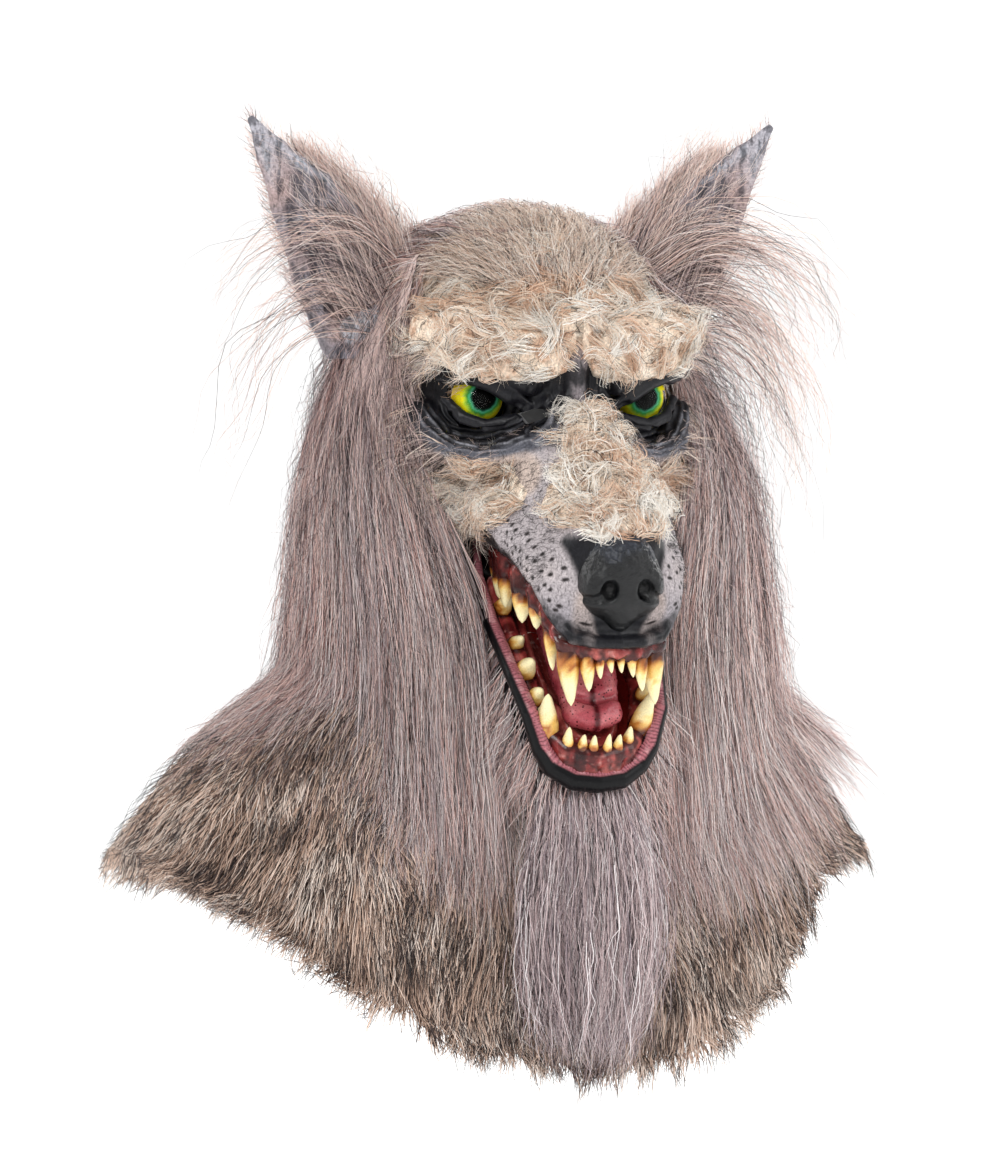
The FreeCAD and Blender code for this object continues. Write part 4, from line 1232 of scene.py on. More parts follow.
def make_mane_mass():
    """The dense hair under the loose strands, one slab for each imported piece."""
    flow = painted_material("mane_mass", 0.6, grain=1.5, mottle=0.3, bump=0.4)
    spans = (("mane_left", 1, 0.0, 0.66), ("mane_right", -1, 0.0, 0.66), ("mane_back", 0, 0.62, 1.0))
    for node, side, first, last in spans:
        lateral = np.linspace(first, last, 70)
        if side == 0:
            lateral = np.concatenate((lateral, 2 - lateral[-2::-1]))
        height = np.linspace(88, -188, 110)
        mirrored = lateral > 1
        u = np.where(mirrored, 2 - lateral, lateral)
        layers = []
        for inset in (15, 23):
            columns = []
            for share, flip in zip(u, mirrored):
                over_bib = 12 * smooth(-height, 150, 206)
                under_crown = 14 * smooth(height, 30, 84) * (side == 0)
                beside_face = 5 * (1 - smooth(np.full(len(height), share), 0, 0.12)) * (side != 0)
                deep = inset + over_bib + under_crown + beside_face
                edge = edge_angle(MANE_ROWS, height)
                line = around(MANE_ROWS, HEAD_SQUARE, edge + (np.pi / 2 - edge) * share, height, deep)
                line = outside_head(clear_of_bib(line, 0.5 + (23 - inset) * 0.3), 1.5 + (23 - inset) * 0.4)
                line[:, 0] *= -1 if flip else 1
                columns.append(line)
            layers.append(np.stack(columns, axis=1))
        outer, inner = layers
        flat = outer.reshape(-1, 3)
        streak_at = np.stack((np.arctan2(flat[:, 1], flat[:, 0]) * 90, flat[:, 2] * 0.05, 0 * flat[:, 0]),
                             axis=1)
        streaks = noise(streak_at, 1.6, 121) * 0.6 + noise(streak_at, 0.6, 122) * 0.4
        ridge = (streaks - 0.5).reshape(outer.shape[:2])
        outer = outer * (1 + ridge[..., None] * 0.02 * (1, 1, 0))
        if side < 0:
            outer, inner = outer * (-1, 1, 1), inner * (-1, 1, 1)
        outer, inner = narrow_right(outer), narrow_right(inner)
        if side >= 0:
            outer, inner = outer[:, ::-1], inner[:, ::-1]
            streaks = streaks.reshape(outer.shape[:2])[:, ::-1].ravel()
        mass = slab(node + "_mass", outer, inner, flow)
        shade = layered(srgb(200, 176, 170), (srgb(238, 218, 212), smooth(streaks, 0.45, 0.75)),
                        (srgb(116, 96, 96), 1 - smooth(streaks, 0.2, 0.42)))
        # the inner face of each slab takes the same streaks at 0.6 of their brightness, a painted shade on
        # the side towards the head
        set_paint(mass, np.concatenate((shade, shade * 0.6)))
        finish_piece(mass, HEAD, (node,))


def outside_head(points, gap):
    """Push points that have sunk into the head out to its surface."""
    height = np.clip(points[..., 2], -152, 100)
    reach = reach_of(HEAD_ROWS, HEAD_SQUARE, (points[..., 0], points[..., 1], height), gap)
    push = np.where(reach < 1, 1 / np.maximum(reach, 0.3), 1)
    points[..., 0] *= push
    points[..., 1] *= push
    return points


# ---- bib ----------------------------------------------------------------------------
def surface_samples(node, count, random):
    """Random points of a CAD node's surface, with normals, in millimetres."""
    mesh = bpy.data.objects[node].data
    mesh.calc_loop_triangles()
    corners = np.empty(len(mesh.vertices) * 3)
    mesh.vertices.foreach_get("co", corners)
    corners = corners.reshape(-1, 3) / MM
    index = np.empty(len(mesh.loop_triangles) * 3, int)
    mesh.loop_triangles.foreach_get("vertices", index)
    a, b, c = (corners[index.reshape(-1, 3)[:, k]] for k in range(3))
    cross = np.cross(b - a, c - a)
    area = np.linalg.norm(cross, axis=1)
    pick = random.choice(len(area), count, p=area / area.sum())
    u, v = random.rand(2, count)
    over = u + v > 1
    u[over], v[over] = 1 - u[over], 1 - v[over]
    points = a[pick] + (b - a)[pick] * u[:, None] + (c - a)[pick] * v[:, None]
    return points, cross[pick] / (area[pick][:, None] + 1e-12)


def bib_reach(points):
    """How far out a point lies, 1 on the bib's outer surface."""
    c, s = math.cos(-BIB_TURN), math.sin(-BIB_TURN)
    x, y = points[:, 0] * c - points[:, 1] * s, points[:, 0] * s + points[:, 1] * c
    return reach_of(BIB_ROWS, BIB_SQUARE, (x, y, points[:, 2]))


def fur_paths(points, normals, length, random, lift, steps):
    """Short fur that leans down and outwards from the cloth, in small tufts."""
    count = len(points)
    down = np.stack((points[:, 0] * 0.0025, points[:, 1] * 0.002, np.full(count, -1.0)), axis=1)
    down += (noise(points, 38, 131)[:, None] - 0.5) * (1.1, 0.5, 0) + random.normal(0, 0.11, (count, 3))
    down += (noise(points, 9, 132)[:, None] - 0.5) * (1.0, 0.4, 0.2)
    down = laid_flat(down, normals)
    t = strand_shares(steps)
    up = lift[:, None, None] * np.sin(np.minimum(t * 1.25, 1) * np.pi / 2)
    rooted = (points - normals * (FUR_PILE - 3))[:, None]
    paths = rooted + down[:, None] * t * length[:, None, None] + normals[:, None] * up
    droop = np.array((0, 0, -1.0)) * t ** 2 * length[:, None, None] * 0.22
    return wavy(paths + droop, random, 1.6, (0.6, 1.6))


def hem_under(points):
    """Height of the cloth's edge below each point."""
    c, s = math.cos(-BIB_TURN), math.sin(-BIB_TURN)
    x = points[..., 0] * c - points[..., 1] * s
    front = np.interp(x, FRONT_HEM[:, 0], FRONT_HEM[:, 1])
    back = np.interp(x, BACK_HEM[:, 0], BACK_HEM[:, 1])
    return np.where(points[..., 1] < 0, front, back)


def settled(points):
    """The wearer's left shoulder of the bib is drawn in."""
    points = points.copy()
    points[..., 0] *= 1 - 0.13 * smooth(points[..., 0], 70, 240)
    return points


def within_reach(paths):
    """Draw in fur that would hang far below the hem or stand out far beyond the shoulders."""
    under = np.minimum(paths[..., 2] - hem_under(paths) - 4, 0)
    paths[..., 2] -= under * (0.25 + 0.6
                              * noise(paths.reshape(-1, 3) * (1, 1, 0.1), 4, 139).reshape(under.shape))
    paths[..., 0] -= np.sign(paths[..., 0]) * np.maximum(abs(paths[..., 0]) - 240, 0) * 0.6
    return settled(paths)


FRONT_HEM = np.array(((-262, -250), (-240, -258), (-195, -286), (-146, -324), (-75, -362), (0, -374),
                      (66, -360), (118, -324), (150, -286), (190, -264), (262, -260)))
BACK_HEM = np.array(((-262, -250), (-190, -284), (-95, -322), (0, -336), (95, -322), (190, -284),
                     (262, -250)))


def make_bib():
    shades = tones("bib_fur", FUR, 0.5)
    for node, count, seed in (("bib_front", 30000, 141), ("bib_back", 17000, 142)):
        random = np.random.RandomState(seed)
        points, normals = surface_samples(node, int(count * 2.3), random)
        outer = (abs(bib_reach(points)
                     - 1) < 0.02) & (points[:, 2] < -128) & (points[:, 2] > hem_under(points) + 1)
        points, normals = points[outer][:count], normals[outer][:count]
        count = len(points)
        length = random.uniform(24, 40, count) * (0.65 + 0.7 * noise(points, 22, 133))
        lift = random.uniform(6, 15, count)
        paths = within_reach(fur_paths(points, normals, length, random, lift, 4))
        patch = noise(points, 16, 134) * 0.6 + noise(points, 5, 135) * 0.4 + random.normal(0, 0.1, count)
        base = np.select((patch < 0.2, patch < 0.36, patch < 0.5, patch < 0.64), (3, 2, 0, 1), 4)
        tip = np.where(random.rand(count) < 0.25 + 0.35 * (noise(points, 12, 136) > 0.5), 3, base)
        tone = np.stack((np.where(random.rand(count) < 0.4, 2, base), base, tip), axis=1)
        hair(node + "_fur", paths, random.uniform(0.3, 0.55, count), tone, shades, HEAD)
        guard = random.rand(count) < 0.2
        long = fur_paths(points[guard], normals[guard], length[guard] * 1.25, random, lift[guard] * 1.35, 4)
        long = within_reach(long)
        dark = np.stack((np.full(guard.sum(), 3), np.full(guard.sum(), 5), np.full(guard.sum(), 5)), axis=1)
        hair(node + "_guard", long, random.uniform(0.14, 0.22, guard.sum()), dark, shades, HEAD)
    make_bib_cloth()


def bib_grid(first, last, hem, inset, rise, rows=56, columns=120):
    """Points of one panel from the neck down to the hem."""
    grid = []
    for angle in np.linspace(first, last, columns):
        low = -300.0
        for _ in range(8):
            foot = around(BIB_ROWS, BIB_SQUARE, np.array([angle]), np.array([low]), inset, BIB_TURN)[0]
            c, s = math.cos(-BIB_TURN), math.sin(-BIB_TURN)
            low = 0.5 * low + 0.5 * (np.interp(foot[0] * c - foot[1] * s, hem[:, 0], hem[:, 1]) + rise)
        heights = np.linspace(-140, low, rows)
        grid.append(around(BIB_ROWS, BIB_SQUARE, np.full(rows, angle), heights, inset, BIB_TURN))
    return np.stack(grid, axis=1)


def make_bib_cloth():
    """Woven backing of the fur, in two panels, and the lining inside them."""
    backing = cloth_material("fur_backing", srgb(96, 72, 56), 1.4)
    cotton = cloth_material("lining_cotton", srgb(30, 25, 24), 1.1)
    panels = (("bib_front", -math.pi + 0.02, -0.02, FRONT_HEM, (0.560, 0.330), 0.118),
              ("bib_back", 0.02, math.pi - 0.02, BACK_HEM, (0.560, 0.260), 0.098))
    for node, first, last, hem, flat, area in panels:
        outer = settled(bib_grid(first, last, hem, FUR_PILE - 4, 4))
        inner = settled(bib_grid(first, last, hem, FUR_PILE - 2.6, 4))
        panel = slab(node + "_cloth", outer[:, ::-1], inner[:, ::-1], backing)
        finish_piece(panel, HEAD, (node,))
    angles = 160
    full = []
    for inset in (FUR_PILE + 0.6, FUR_PILE + 1.8):
        front = bib_grid(-math.pi, 0, FRONT_HEM, inset, 14, columns=angles // 2)
        back = bib_grid(0, math.pi, BACK_HEM, inset, 14, columns=angles // 2)
        full.append(settled(np.concatenate((front[:, :-1], back[:, :-1]), axis=1)))
    lining = slab("bib_lining_cloth", full[0][:, ::-1], full[1][:, ::-1], cotton, closed=True)
    finish_piece(lining, HEAD, ("bib_lining",))
    heights = np.linspace(-133, -151, 8)
    angle = np.linspace(0, 2 * math.pi, 120, endpoint=False)
    rings = [np.stack([around(HEAD_ROWS, HEAD_SQUARE, angle, np.full(120, z), inset) for z in heights])
             for inset in (3.5, 5.0)]
    tape = slab("neck_band_tape", rings[0][:, ::-1], rings[1][:, ::-1], cotton, closed=True)
    finish_piece(tape, HEAD, ("neck_band",))


def cloth_material(name, colour, thread):
    """Plain weave with slightly uneven threads; thread is in millimetres."""
    nodes = Nodes(name).set(Roughness=0.85, Sheen_Weight=0.3)
    place = nodes.add("ShaderNodeTexCoord")
    height = None
    for direction in ("X", "Z"):
        wave = nodes.add("ShaderNodeTexWave", wave_type="BANDS", bands_direction=direction,
                         Scale=1000 / thread / 20,
                         Distortion=1.0)
        nodes.link(place.outputs["Object"], wave.inputs["Vector"])
        if height is None:
            height = wave.outputs["Fac"]
        else:
            weave = nodes.add("ShaderNodeMath", operation="MULTIPLY")
            nodes.link(height, weave.inputs[0]).link(wave.outputs["Fac"], weave.inputs[1])
    tint = nodes.add("ShaderNodeMix", data_type="RGBA")
    tint.inputs[6].default_value = (*[v * 0.6 for v in colour], 1)
    tint.inputs[7].default_value = (*[min(v * 1.4, 1) for v in colour], 1)
    nodes.link(weave.outputs[0], tint.inputs[0]).link(tint.outputs[2], nodes.shader.inputs["Base Color"])
    add_bump(nodes, weave.outputs[0], 0.5, 0.0004)
    return nodes.material


# ---- beard --------------------------------------------------------------------------
def make_beard():
    shades = tones("beard_hair",
                   ((190, 168, 168), (220, 200, 200), (244, 236, 236), (150, 134, 140), (48, 40, 44)))
    random = np.random.RandomState(151)
    guides = []
    for x in (-24, -14, -5, 5, 14, 24):
        bend = 0.06 * x * x
        guides.append(((x * 0.9, -132 + bend * 0.3, -208), (x * 1.15 - 1, -148 + bend * 0.3, -236),
                       (x * 1.5 - 3, -160 + bend * 0.3, -268), (x * 1.6 - 6, -168 + bend * 0.3, -305),
                       (x * 1.35 - 8, -172 + bend * 0.35, -340), (x * 0.9 - 9, -174 + bend * 0.4, -368)))
    count = 5200
    paths = spread(guides, count, 14, random, (4.5, 7.0), 2.0, 16)
    first = random.uniform(-0.3, 0.6, count).clip(0)
    paths = cut_between(paths, first, np.minimum(first + random.uniform(0.25, 0.6, count), 1), 8)
    paths = clear_of_bib(wavy(paths, random, 3.6, (0.7, 2.4)), 3.0)
    tone = random.choice(5, count, p=(0.28, 0.27, 0.17, 0.18, 0.10))
    pieces = hair("beard_hair", paths, random.uniform(0.14, 0.34, count), tone, shades, None,
                  ("beard",))
    for piece in pieces:
        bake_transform(piece)


def cut_between(paths, first, last, steps):
    """The part of each strand from one share of its length to another, with its own number of steps."""
    t = np.linspace(0, 1, steps)[None]
    want = (first[:, None] + (last - first)[:, None] * t) * (paths.shape[1] - 1)
    low = np.clip(want.astype(int), 0, paths.shape[1] - 2)
    part = (want - low)[..., None]
    rows = np.arange(len(paths))[:, None]
    return paths[rows, low] * (1 - part) + paths[rows, low + 1] * part


def cut_to(paths, share):
    """Shorten each strand to a share of its length."""
    return cut_between(paths, 0 * share, share, paths.shape[1])


def make_jaw_hair():
    """Hair that grows against the outside of the jaw, under the lip."""
    shades = tones("mane_hair", MAUVE, 0.55)
    random = np.random.RandomState(157)
    points, normals = surface_samples("jaw_lip", 16000, random)
    inward, above, along = beside(both(points), LOWER_LIP, (0, -0.8, 0.6))
    edge = 3 + 5 * smooth(along, 0.7, 0.95)
    outside = (inward < 3) & (above < -edge) & (normals[:, 1] < 0.3 + 0.7 * smooth(-points[:, 2], 90, 130))
    outside &= (normals * points * (1, 0, 0)).sum(axis=1) > -abs(points[:, 0]) * 0.2
    points, normals = points[outside][:3600], normals[outside][:3600]
    count = len(points)
    side = np.where(points[:, 0] < 0, -1, 1)
    down = np.stack((side * 0.25, 0.35 * smooth(points[:, 1], -150, -100), np.full(count, -1.0)), axis=1)
    down += random.normal(0, 0.22, (count, 3))
    down /= np.linalg.norm(down, axis=1)[:, None]
    length = random.uniform(16, 46, count)[:, None, None]
    t = strand_shares(6)
    paths = (points - normals)[:, None] + down[:, None] * t * length
    paths = paths + normals[:, None] * np.sin(t * 2.0) * random.uniform(2, 7, (count, 1, 1))
    hair("jaw_hair", wavy(paths, random, 2.6, (0.6, 2.0)), random.uniform(0.13, 0.28, count),
         mane_tone(count, random, 0.5), shades, JAW)


# ---- wool ---------------------------------------------------------------------------
def wool_masks(points):
    """How thick the wool lies on the face, 0 to 1: brows, bridge with cheeks, and crown."""
    x, y, z = abs(points[:, 0]), points[:, 1], points[:, 2]
    ragged = (noise(points, 6, 151) - 0.5) * 6
    brow_line = np.interp(x, (0, 4, 10, 22, 34, 48, 62, 76, 88), (34, 27, 15, 12, 13, 14, 16, 24, 38))
    brow = smooth(z - brow_line + ragged * 0.6, 0, 7) * (1 - smooth(x, 82, 88))
    furrow = 1 - 0.6 * (1 - smooth(x, 0.8, 3.6)) * (1 - smooth(z, 30, 44))
    width = np.interp(z, (-76, -68, -58, -42, -22, -6, 4), (14, 26, 37, 33, 22, 15, 7))
    bridge = smooth(width - x + ragged, 0, 7) * smooth(-y, 99, 105) * smooth(-z, -5, 2) * smooth(z, -74,
                                                                                                 -66)
    near = ((x - 50) / 38) ** 2 + ((z + 51) / 20) ** 2 + ((y + 92) / 52) ** 2
    cheek = (1 - smooth(near + ragged * 0.08, 0.45, 1.1)) * 0.75
    crown = smooth(z, 72, 82) * (1 - smooth(y, 44, 56))
    return brow * furrow, np.maximum(bridge, cheek), crown


def bed_paint(points, seed):
    shade = noise(points, 12, seed) * 0.5 + noise(points, 3, seed + 1) * 0.5
    return layered(srgb(222, 202, 182), (srgb(190, 156, 132), smooth(1 - shade, 0.5, 0.72)),
                   (srgb(240, 228, 212), smooth(shade, 0.55, 0.75)))


def locks(points, normals, flow, count, random, length=(12, 24), strands=34, thickness=3.4, steps=7):
    """Loose curled locks lying on a surface, each a bundle of fine strands."""
    pick = random.choice(len(points), count)
    p, n = points[pick], normals[pick]
    d = flow(p) + random.normal(0, 0.75, (count, 3))
    d = laid_flat(d, n)
    b = np.cross(n, d)
    t = strand_shares(steps)
    size = random.uniform(*length, (count, 1, 1))
    curl = random.uniform(1.5, 4.0, (count, 1, 1)) * random.choice((-1, 1), (count, 1, 1))
    speed = random.uniform(0.5, 1.1, (count, 1, 1)) * 2 * np.pi
    phase = random.uniform(0, 2 * np.pi, (count, 1, 1))
    centre = p[:, None] + d[:, None] * size * (t - 0.3) + b[:, None] * curl * (np.sin(phase + speed * t)
                                                                               - np.sin(phase))
    centre = centre + n[:, None] * (-0.5 + 2.6 * np.sin(np.pi * t ** 0.8)
                                    + 0.8 * np.sin(phase * 2 + speed * t))
    paths = np.repeat(centre, strands, axis=0)
    total = len(paths)
    offset = random.normal(0, 1, (total, 1, 3)) * thickness * 0.5
    loose = random.uniform(0.5, 1.3, (total, 1, 1))
    start = np.repeat(p, strands, axis=0)[:, None]
    return wavy(start + (paths - start) * loose + offset, random, 2.2, (0.6, 1.8)), np.repeat(pick, strands)


def wool_tone(shade, random):
    mix = shade + random.normal(0, 0.12, len(shade))
    tone = np.select((mix < 0.27, mix < 0.37, mix < 0.52), (3, 2, 0), 1)
    return np.where(random.rand(len(shade)) < 0.03, 4, tone)


def make_wool(face_points, face_quads):
    shades = tones("wool", CREAM, 0.75)
    felt = painted_material("wool_bed", 0.9, grain=1.4, mottle=0.35, bump=0.8, strokes=0.25, shine=0.1)

    def bed(name, points, quads, seed, node):
        piece = new_mesh(name + "_bed", points, quads, felt)
        set_paint(piece, bed_paint(points, seed))
        finish_piece(piece, HEAD, (node,))

    def grow(name, points, normals, flow, count, strays, seed, **shape):
        random = np.random.RandomState(seed)
        paths, pick = locks(points, normals, flow, count, random, **shape)
        shade = noise(points, 12, seed)[pick] * 0.7 + noise(points, 5, seed + 1)[pick] * 0.3
        hair(name + "_curls", paths, random.uniform(0.12, 0.26, len(paths)), wool_tone(shade, random),
             shades, HEAD)
        paths, _ = locks(points, normals, flow, strays, random, (10, 26), 1, 1.0)
        hair(name + "_strays", paths, random.uniform(0.09, 0.15, len(paths)), np.full(len(paths), 4),
             shades, HEAD)

    face_normals = normals_of(face_points, face_quads)
    lump = 0.75 + (noise(face_points, 14, 161) - 0.5) * 0.9 + (noise(face_points, 5, 162) - 0.5) * 0.2
    kinds = (("brow", 5.0, (14, 28), 165, 420), ("muzzle", 3.8, (12, 24), 290, 560),
             ("crown", 5.5, (16, 32), 270, 2600))
    flows = {
        "brow": lambda p: np.stack((np.sign(p[:, 0]) * 0.9, 0 * p[:, 0], 0.25 + 0 * p[:, 0]), axis=1),
        "muzzle": lambda p: np.stack((p[:, 0] * 0.02, 0.4 + 0 * p[:, 0], 0.3 + 0 * p[:, 0]), axis=1),
        "crown": lambda p: np.stack((p[:, 0] * 0.02, 0.8 + 0 * p[:, 0], 0.4 + 0 * p[:, 0]), axis=1),
    }
    height = face_points[:, 2]
    for (kind, thick, length, count, strays), mask in zip(kinds, wool_masks(face_points)):
        raised = face_points + face_normals * (mask * thick * lump - 0.7 * (1 - mask))[:, None]
        for side_name, side in (SIDES if kind == "brow" else (("", 0),)):
            there = (mask > 0.02) & (face_points[:, 0] * side >= -2 * abs(side)) & ((height < 84)
                                                                                    | (kind == "crown"))
            quads = face_quads[there[face_quads].all(axis=1)]
            points, quads, normals, cover = compact(raised, quads, face_normals, mask)
            name = kind + "_wool" + ("_" + side_name if side else "")
            bed(name, points, quads, 165, name)
            full = cover > (0.75 if side else 0.3)
            grow(name, points[full], normals[full], flows[kind], count, strays, 168 + 3 * len(kind) + side,
                 length=length)


def make_crown_hair(face_points, face_quads):
    """Straighter hair combed back over the crown, with dark strays."""
    random = np.random.RandomState(221)
    shades = tones("crown_hair",
                   ((246, 228, 212), (226, 200, 182), (184, 160, 148), (252, 244, 236), (34, 28, 30)), 0.6)
    normals = normals_of(face_points, face_quads)
    x, y, z = face_points.T
    spots = np.flatnonzero((z > 62) & (y < 60) & (z - 0.16 * abs(x) > 60) & (normals[:, 2] > -0.1))
    count = 5200
    pick = random.choice(spots, count)
    p, n = face_points[pick], normals[pick]
    d = np.stack((p[:, 0] * 0.018, np.full(count, 0.8), np.full(count, 0.5)),
                 axis=1) + random.normal(0, 0.3, (count, 3))
    d += (noise(p, 12, 222)[:, None] - 0.5) * (1.4, 0.6, 0.6)
    d = laid_flat(d, n)
    size = random.uniform(14, 34, count)[:, None, None]
    t = strand_shares(6)
    paths = (p + n * 3)[:, None] + (d[:, None] * t + n[:, None] * 0.3 * np.sin(t * 2.4)) * size
    tone = random.choice(5, count, p=(0.28, 0.25, 0.17, 0.18, 0.12))
    hair("crown_hair", wavy(paths, random, 2.2, (0.6, 2.0)), random.uniform(0.12, 0.24, count), tone,
         shades, HEAD)


def make_back_hair():
    """Hair combed back over the top of the head, down to the mane."""
    random = np.random.RandomState(231)
    shades = tones("mane_hair", MAUVE, 0.55)
    points, normals = surface_samples("head_shell", 30000, random)
    outward = (points * normals).sum(axis=1) > 0
    top = outward & (points[:, 2] > 74) & (points[:, 1] > -44)
    points, normals = points[top][:5200], normals[top][:5200]
    count = len(points)
    back = smooth(normals[:, 2], 0.1, 0.6)
    d = np.stack((points[:, 0] * 0.012, back * 0.9, back - 1.0), axis=1) + random.normal(0, 0.16,
                                                                                         (count, 3))
    d = laid_flat(d, normals)
    size = random.uniform(30, 76, count)[:, None, None]
    t = strand_shares(8)
    rise = random.uniform(3, 9, (count, 1, 1)) * np.sin(np.minimum(t * 2.2, 1.5)) - (t * size) ** 2 / 260
    paths = points[:, None] + d[:, None] * t * size + normals[:, None] * rise
    paths[..., 2] = np.minimum(paths[..., 2], 124)
    pink = noise(points, 30, 104)
    hair("back_hair", wavy(paths, random, 3.0, (0.6, 2.4)), random.uniform(0.16, 0.34, count),
         mane_tone(count, random, pink), shades, HEAD)


def make_bristles(face_points, face_quads):
    """Short dark hairs on the muzzle and round the eyes, and longer tan hair towards the mane."""
    shades = tones("bristle",
                   ((20, 18, 22), (60, 50, 50), (236, 208, 186), (204, 184, 178), (248, 232, 218)), 0.5)
    normals = normals_of(face_points, face_quads)
    x, y, z = abs(face_points[:, 0]), face_points[:, 1], face_points[:, 2]
    ring, _ = eye_rings(face_points)
    _, low, _ = wool_masks(face_points)
    lip, _ = line_distance(both(face_points), UPPER_LIP)
    outside = (normals[:, 1] < 0.5) & (1 - mouth_inside(both(face_points)) > 0.5) & (lip > 4)
    snout = outside & (y < -100) & (y > -178) & (z < -30) & (z > -110) & (low < 0.5)
    lids = outside & (ring > 22) & (ring < 40) & (y > -108) & (y < -40) & (z < 12) & (low < 0.5)
    temple = outside & (x > 60) & (y > -92) & (y < -26) & (z < 40) & (z > -86) & (ring > 27)
    cheek = outside & (x > 34) & (y > -106) & (y < -30) & (z < -34) & (z > -88)
    random = np.random.RandomState(211)
    fields = (("snout", snout, 1500, (2.5, 6), (0.3, 0.7, -0.6), (0, 0, 1), (0.08, 0.13)),
              ("lid", lids, 1300, (4, 9), (0.9, 0.6, -0.7), (0, 1, 3), (0.09, 0.15)),
              ("temple", temple, 2600, (12, 26), (0.7, 0.9, -0.8), (0, 2, 3, 4, 3), (0.13, 0.24)),
              ("cheek", cheek, 3400, (10, 24), (0.4, 0.9, -0.9), (1, 2, 3, 4, 4), (0.13, 0.26)))
    for name, where, count, length, lean, choice, radius in fields:
        spots = np.flatnonzero(where)
        pick = random.choice(spots, count)
        p, n = face_points[pick], normals[pick]
        side = np.where(p[:, 0] < 0, -1, 1)
        d = np.stack((side * lean[0], np.full(count, lean[1]), np.full(count, lean[2])), axis=1)
        d += random.normal(0, 0.35, (count, 3)) + (noise(p, 9, 213)[:, None] - 0.5) * (0.8, 0.8, 0.8)
        d = laid_flat(d, n)
        size = random.uniform(*length, count)[:, None, None]
        t = strand_shares(4)
        paths = p[:, None] + (d[:, None] * t + n[:, None] * (0.32 * np.sin(t * 2.2) - 0.02)) * size
        hair("bristles_" + name, wavy(paths, random, 0.8, (0.5, 1.5)), random.uniform(*radius, count),
             random.choice(choice, count), shades, HEAD)


# ---- loose hair on the ears ---------------------------------------------------------
def make_ear_hair():
    shades = tones("ear_hair",
                   ((244, 220, 208), (232, 200, 188), (250, 238, 232), (200, 178, 176), (70, 58, 60)))
    for side_name, side in SIDES:
        random = np.random.RandomState(191 + side)
        guides = []
        for k in range(6):
            share = k / 5
            guides.append(((56 + 16 * share, 6 + 18 * share, 78 - 6 * share),
                           (69 + 16 * share, 5 + 20 * share, 99 - 4 * share),
                           (90 + 13 * share, 5 + 18 * share, 117 - 4 * share),
                           (111 + 11 * share, 5 + 14 * share, 132 - 2 * share),
                           (134 + 6 * share, 3 + 7 * share, 148)))
        count = 3800
        paths = spread(guides, count, 14, random, (4.0, 4.0), 1.5, 12)
        first = random.uniform(-0.1, 0.85, count).clip(0)
        paths = cut_between(paths, first, np.minimum(first + random.uniform(0.12, 0.3, count), 1), 7)
        lean = random.normal(0, 1, (count, 1, 3)) * (5, 3, 5) + (-5, 4, 4)
        paths = wavy(paths + lean * strand_shares(7), random, 2.6, (0.7, 2.0))
        paths[..., 0] *= side
        tone = random.choice(5, count, p=(0.32, 0.25, 0.2, 0.15, 0.08))
        hair("ear_hair_" + side_name, paths, random.uniform(0.13, 0.28, count), tone, shades, HEAD,
             ("ear_tuft_" + side_name,))
        sweep = (((78, -6, 84), (112, -14, 108), (158, -16, 104), (196, -14, 74), (216, -10, 30)),
                 ((84, -2, 74), (116, -10, 92), (154, -14, 82), (182, -14, 44), (198, -12, -6)),
                 ((86, 0, 60), (114, -8, 70), (146, -14, 52), (166, -16, 10), (178, -14, -60)),
                 ((92, -18, 36), (122, -26, 34), (152, -30, 6), (172, -30, -50), (184, -28, -120)))
        count = 560 if side > 0 else 150
        paths = wavy(spread(sweep, count, 16, random, (6.0, 12.0), 8.0, 4), random, 5.0, (2.0, 4.0))
        paths = cut_to(paths, random.uniform(0.4, 1.0, count))
        paths[..., 0] *= side
        hair("ear_sweep_" + side_name, paths, random.uniform(0.14, 0.26, count), random.choice(5, count),
             shades, HEAD)
        points, normals = surface_samples("ear_skin_" + side_name, 9000, random)
        behind = (normals[:, 1] > 0.15) & (points[:, 2] > 40)
        points, normals = points[behind][:2600], normals[behind][:2600]
        up = np.array((0.45 * side, 0.1, 1.0)) + random.normal(0, 0.35, (len(points), 3))
        reach = random.uniform(6, 13, len(points))[:, None, None]
        t = strand_shares(4)
        paths = points[:, None] + (up[:, None] * t * 0.8
                                   + normals[:, None] * (0.5 * np.sin(t * 1.8) - 0.04)) * reach
        hair("ear_fuzz_" + side_name, wavy(paths, random, 1.2, (0.6, 1.6)),
             random.uniform(0.1, 0.2, len(paths)),
             random.choice((0, 1, 1, 3, 4), len(paths)), shades, HEAD)
        veil = (((84, -14, 60), (96, -14, 88), (108, -12, 112), (122, -10, 128)),
                ((104, -14, 56), (116, -14, 82), (128, -12, 104), (140, -10, 118)),
                ((112, -12, 54), (128, -12, 66), (142, -12, 82), (152, -10, 96)))
        paths = cut_to(spread(veil, 260, 10, random, (8.0, 8.0), 5.0, 3), random.uniform(0.3, 1.0, 260))
        paths[..., 0] *= side
        hair("ear_veil_" + side_name, paths, random.uniform(0.09, 0.15, 260), random.choice((0, 3, 4), 260),
             shades, HEAD)
        rise = (((70, -10, 86), (82, -14, 118), (88, -12, 150), (84, -8, 176)),
                ((84, -4, 90), (104, -8, 124), (122, -8, 150), (146, -4, 172)),
                ((104, 0, 96), (136, -4, 120), (160, -4, 140), (188, 0, 150)))
        count = 190
        paths = wavy(spread(rise, count, 14, random, (6.0, 12.0), 9.0, 3), random, 5.0, (2.0, 4.0))
        paths = cut_to(paths, random.uniform(0.35, 1.0, count))
        paths[..., 2] = np.minimum(paths[..., 2], 186)
        paths[..., 0] *= side
        hair("ear_wisps_" + side_name, paths, random.uniform(0.1, 0.16, count), random.choice(5, count),
             shades, HEAD)


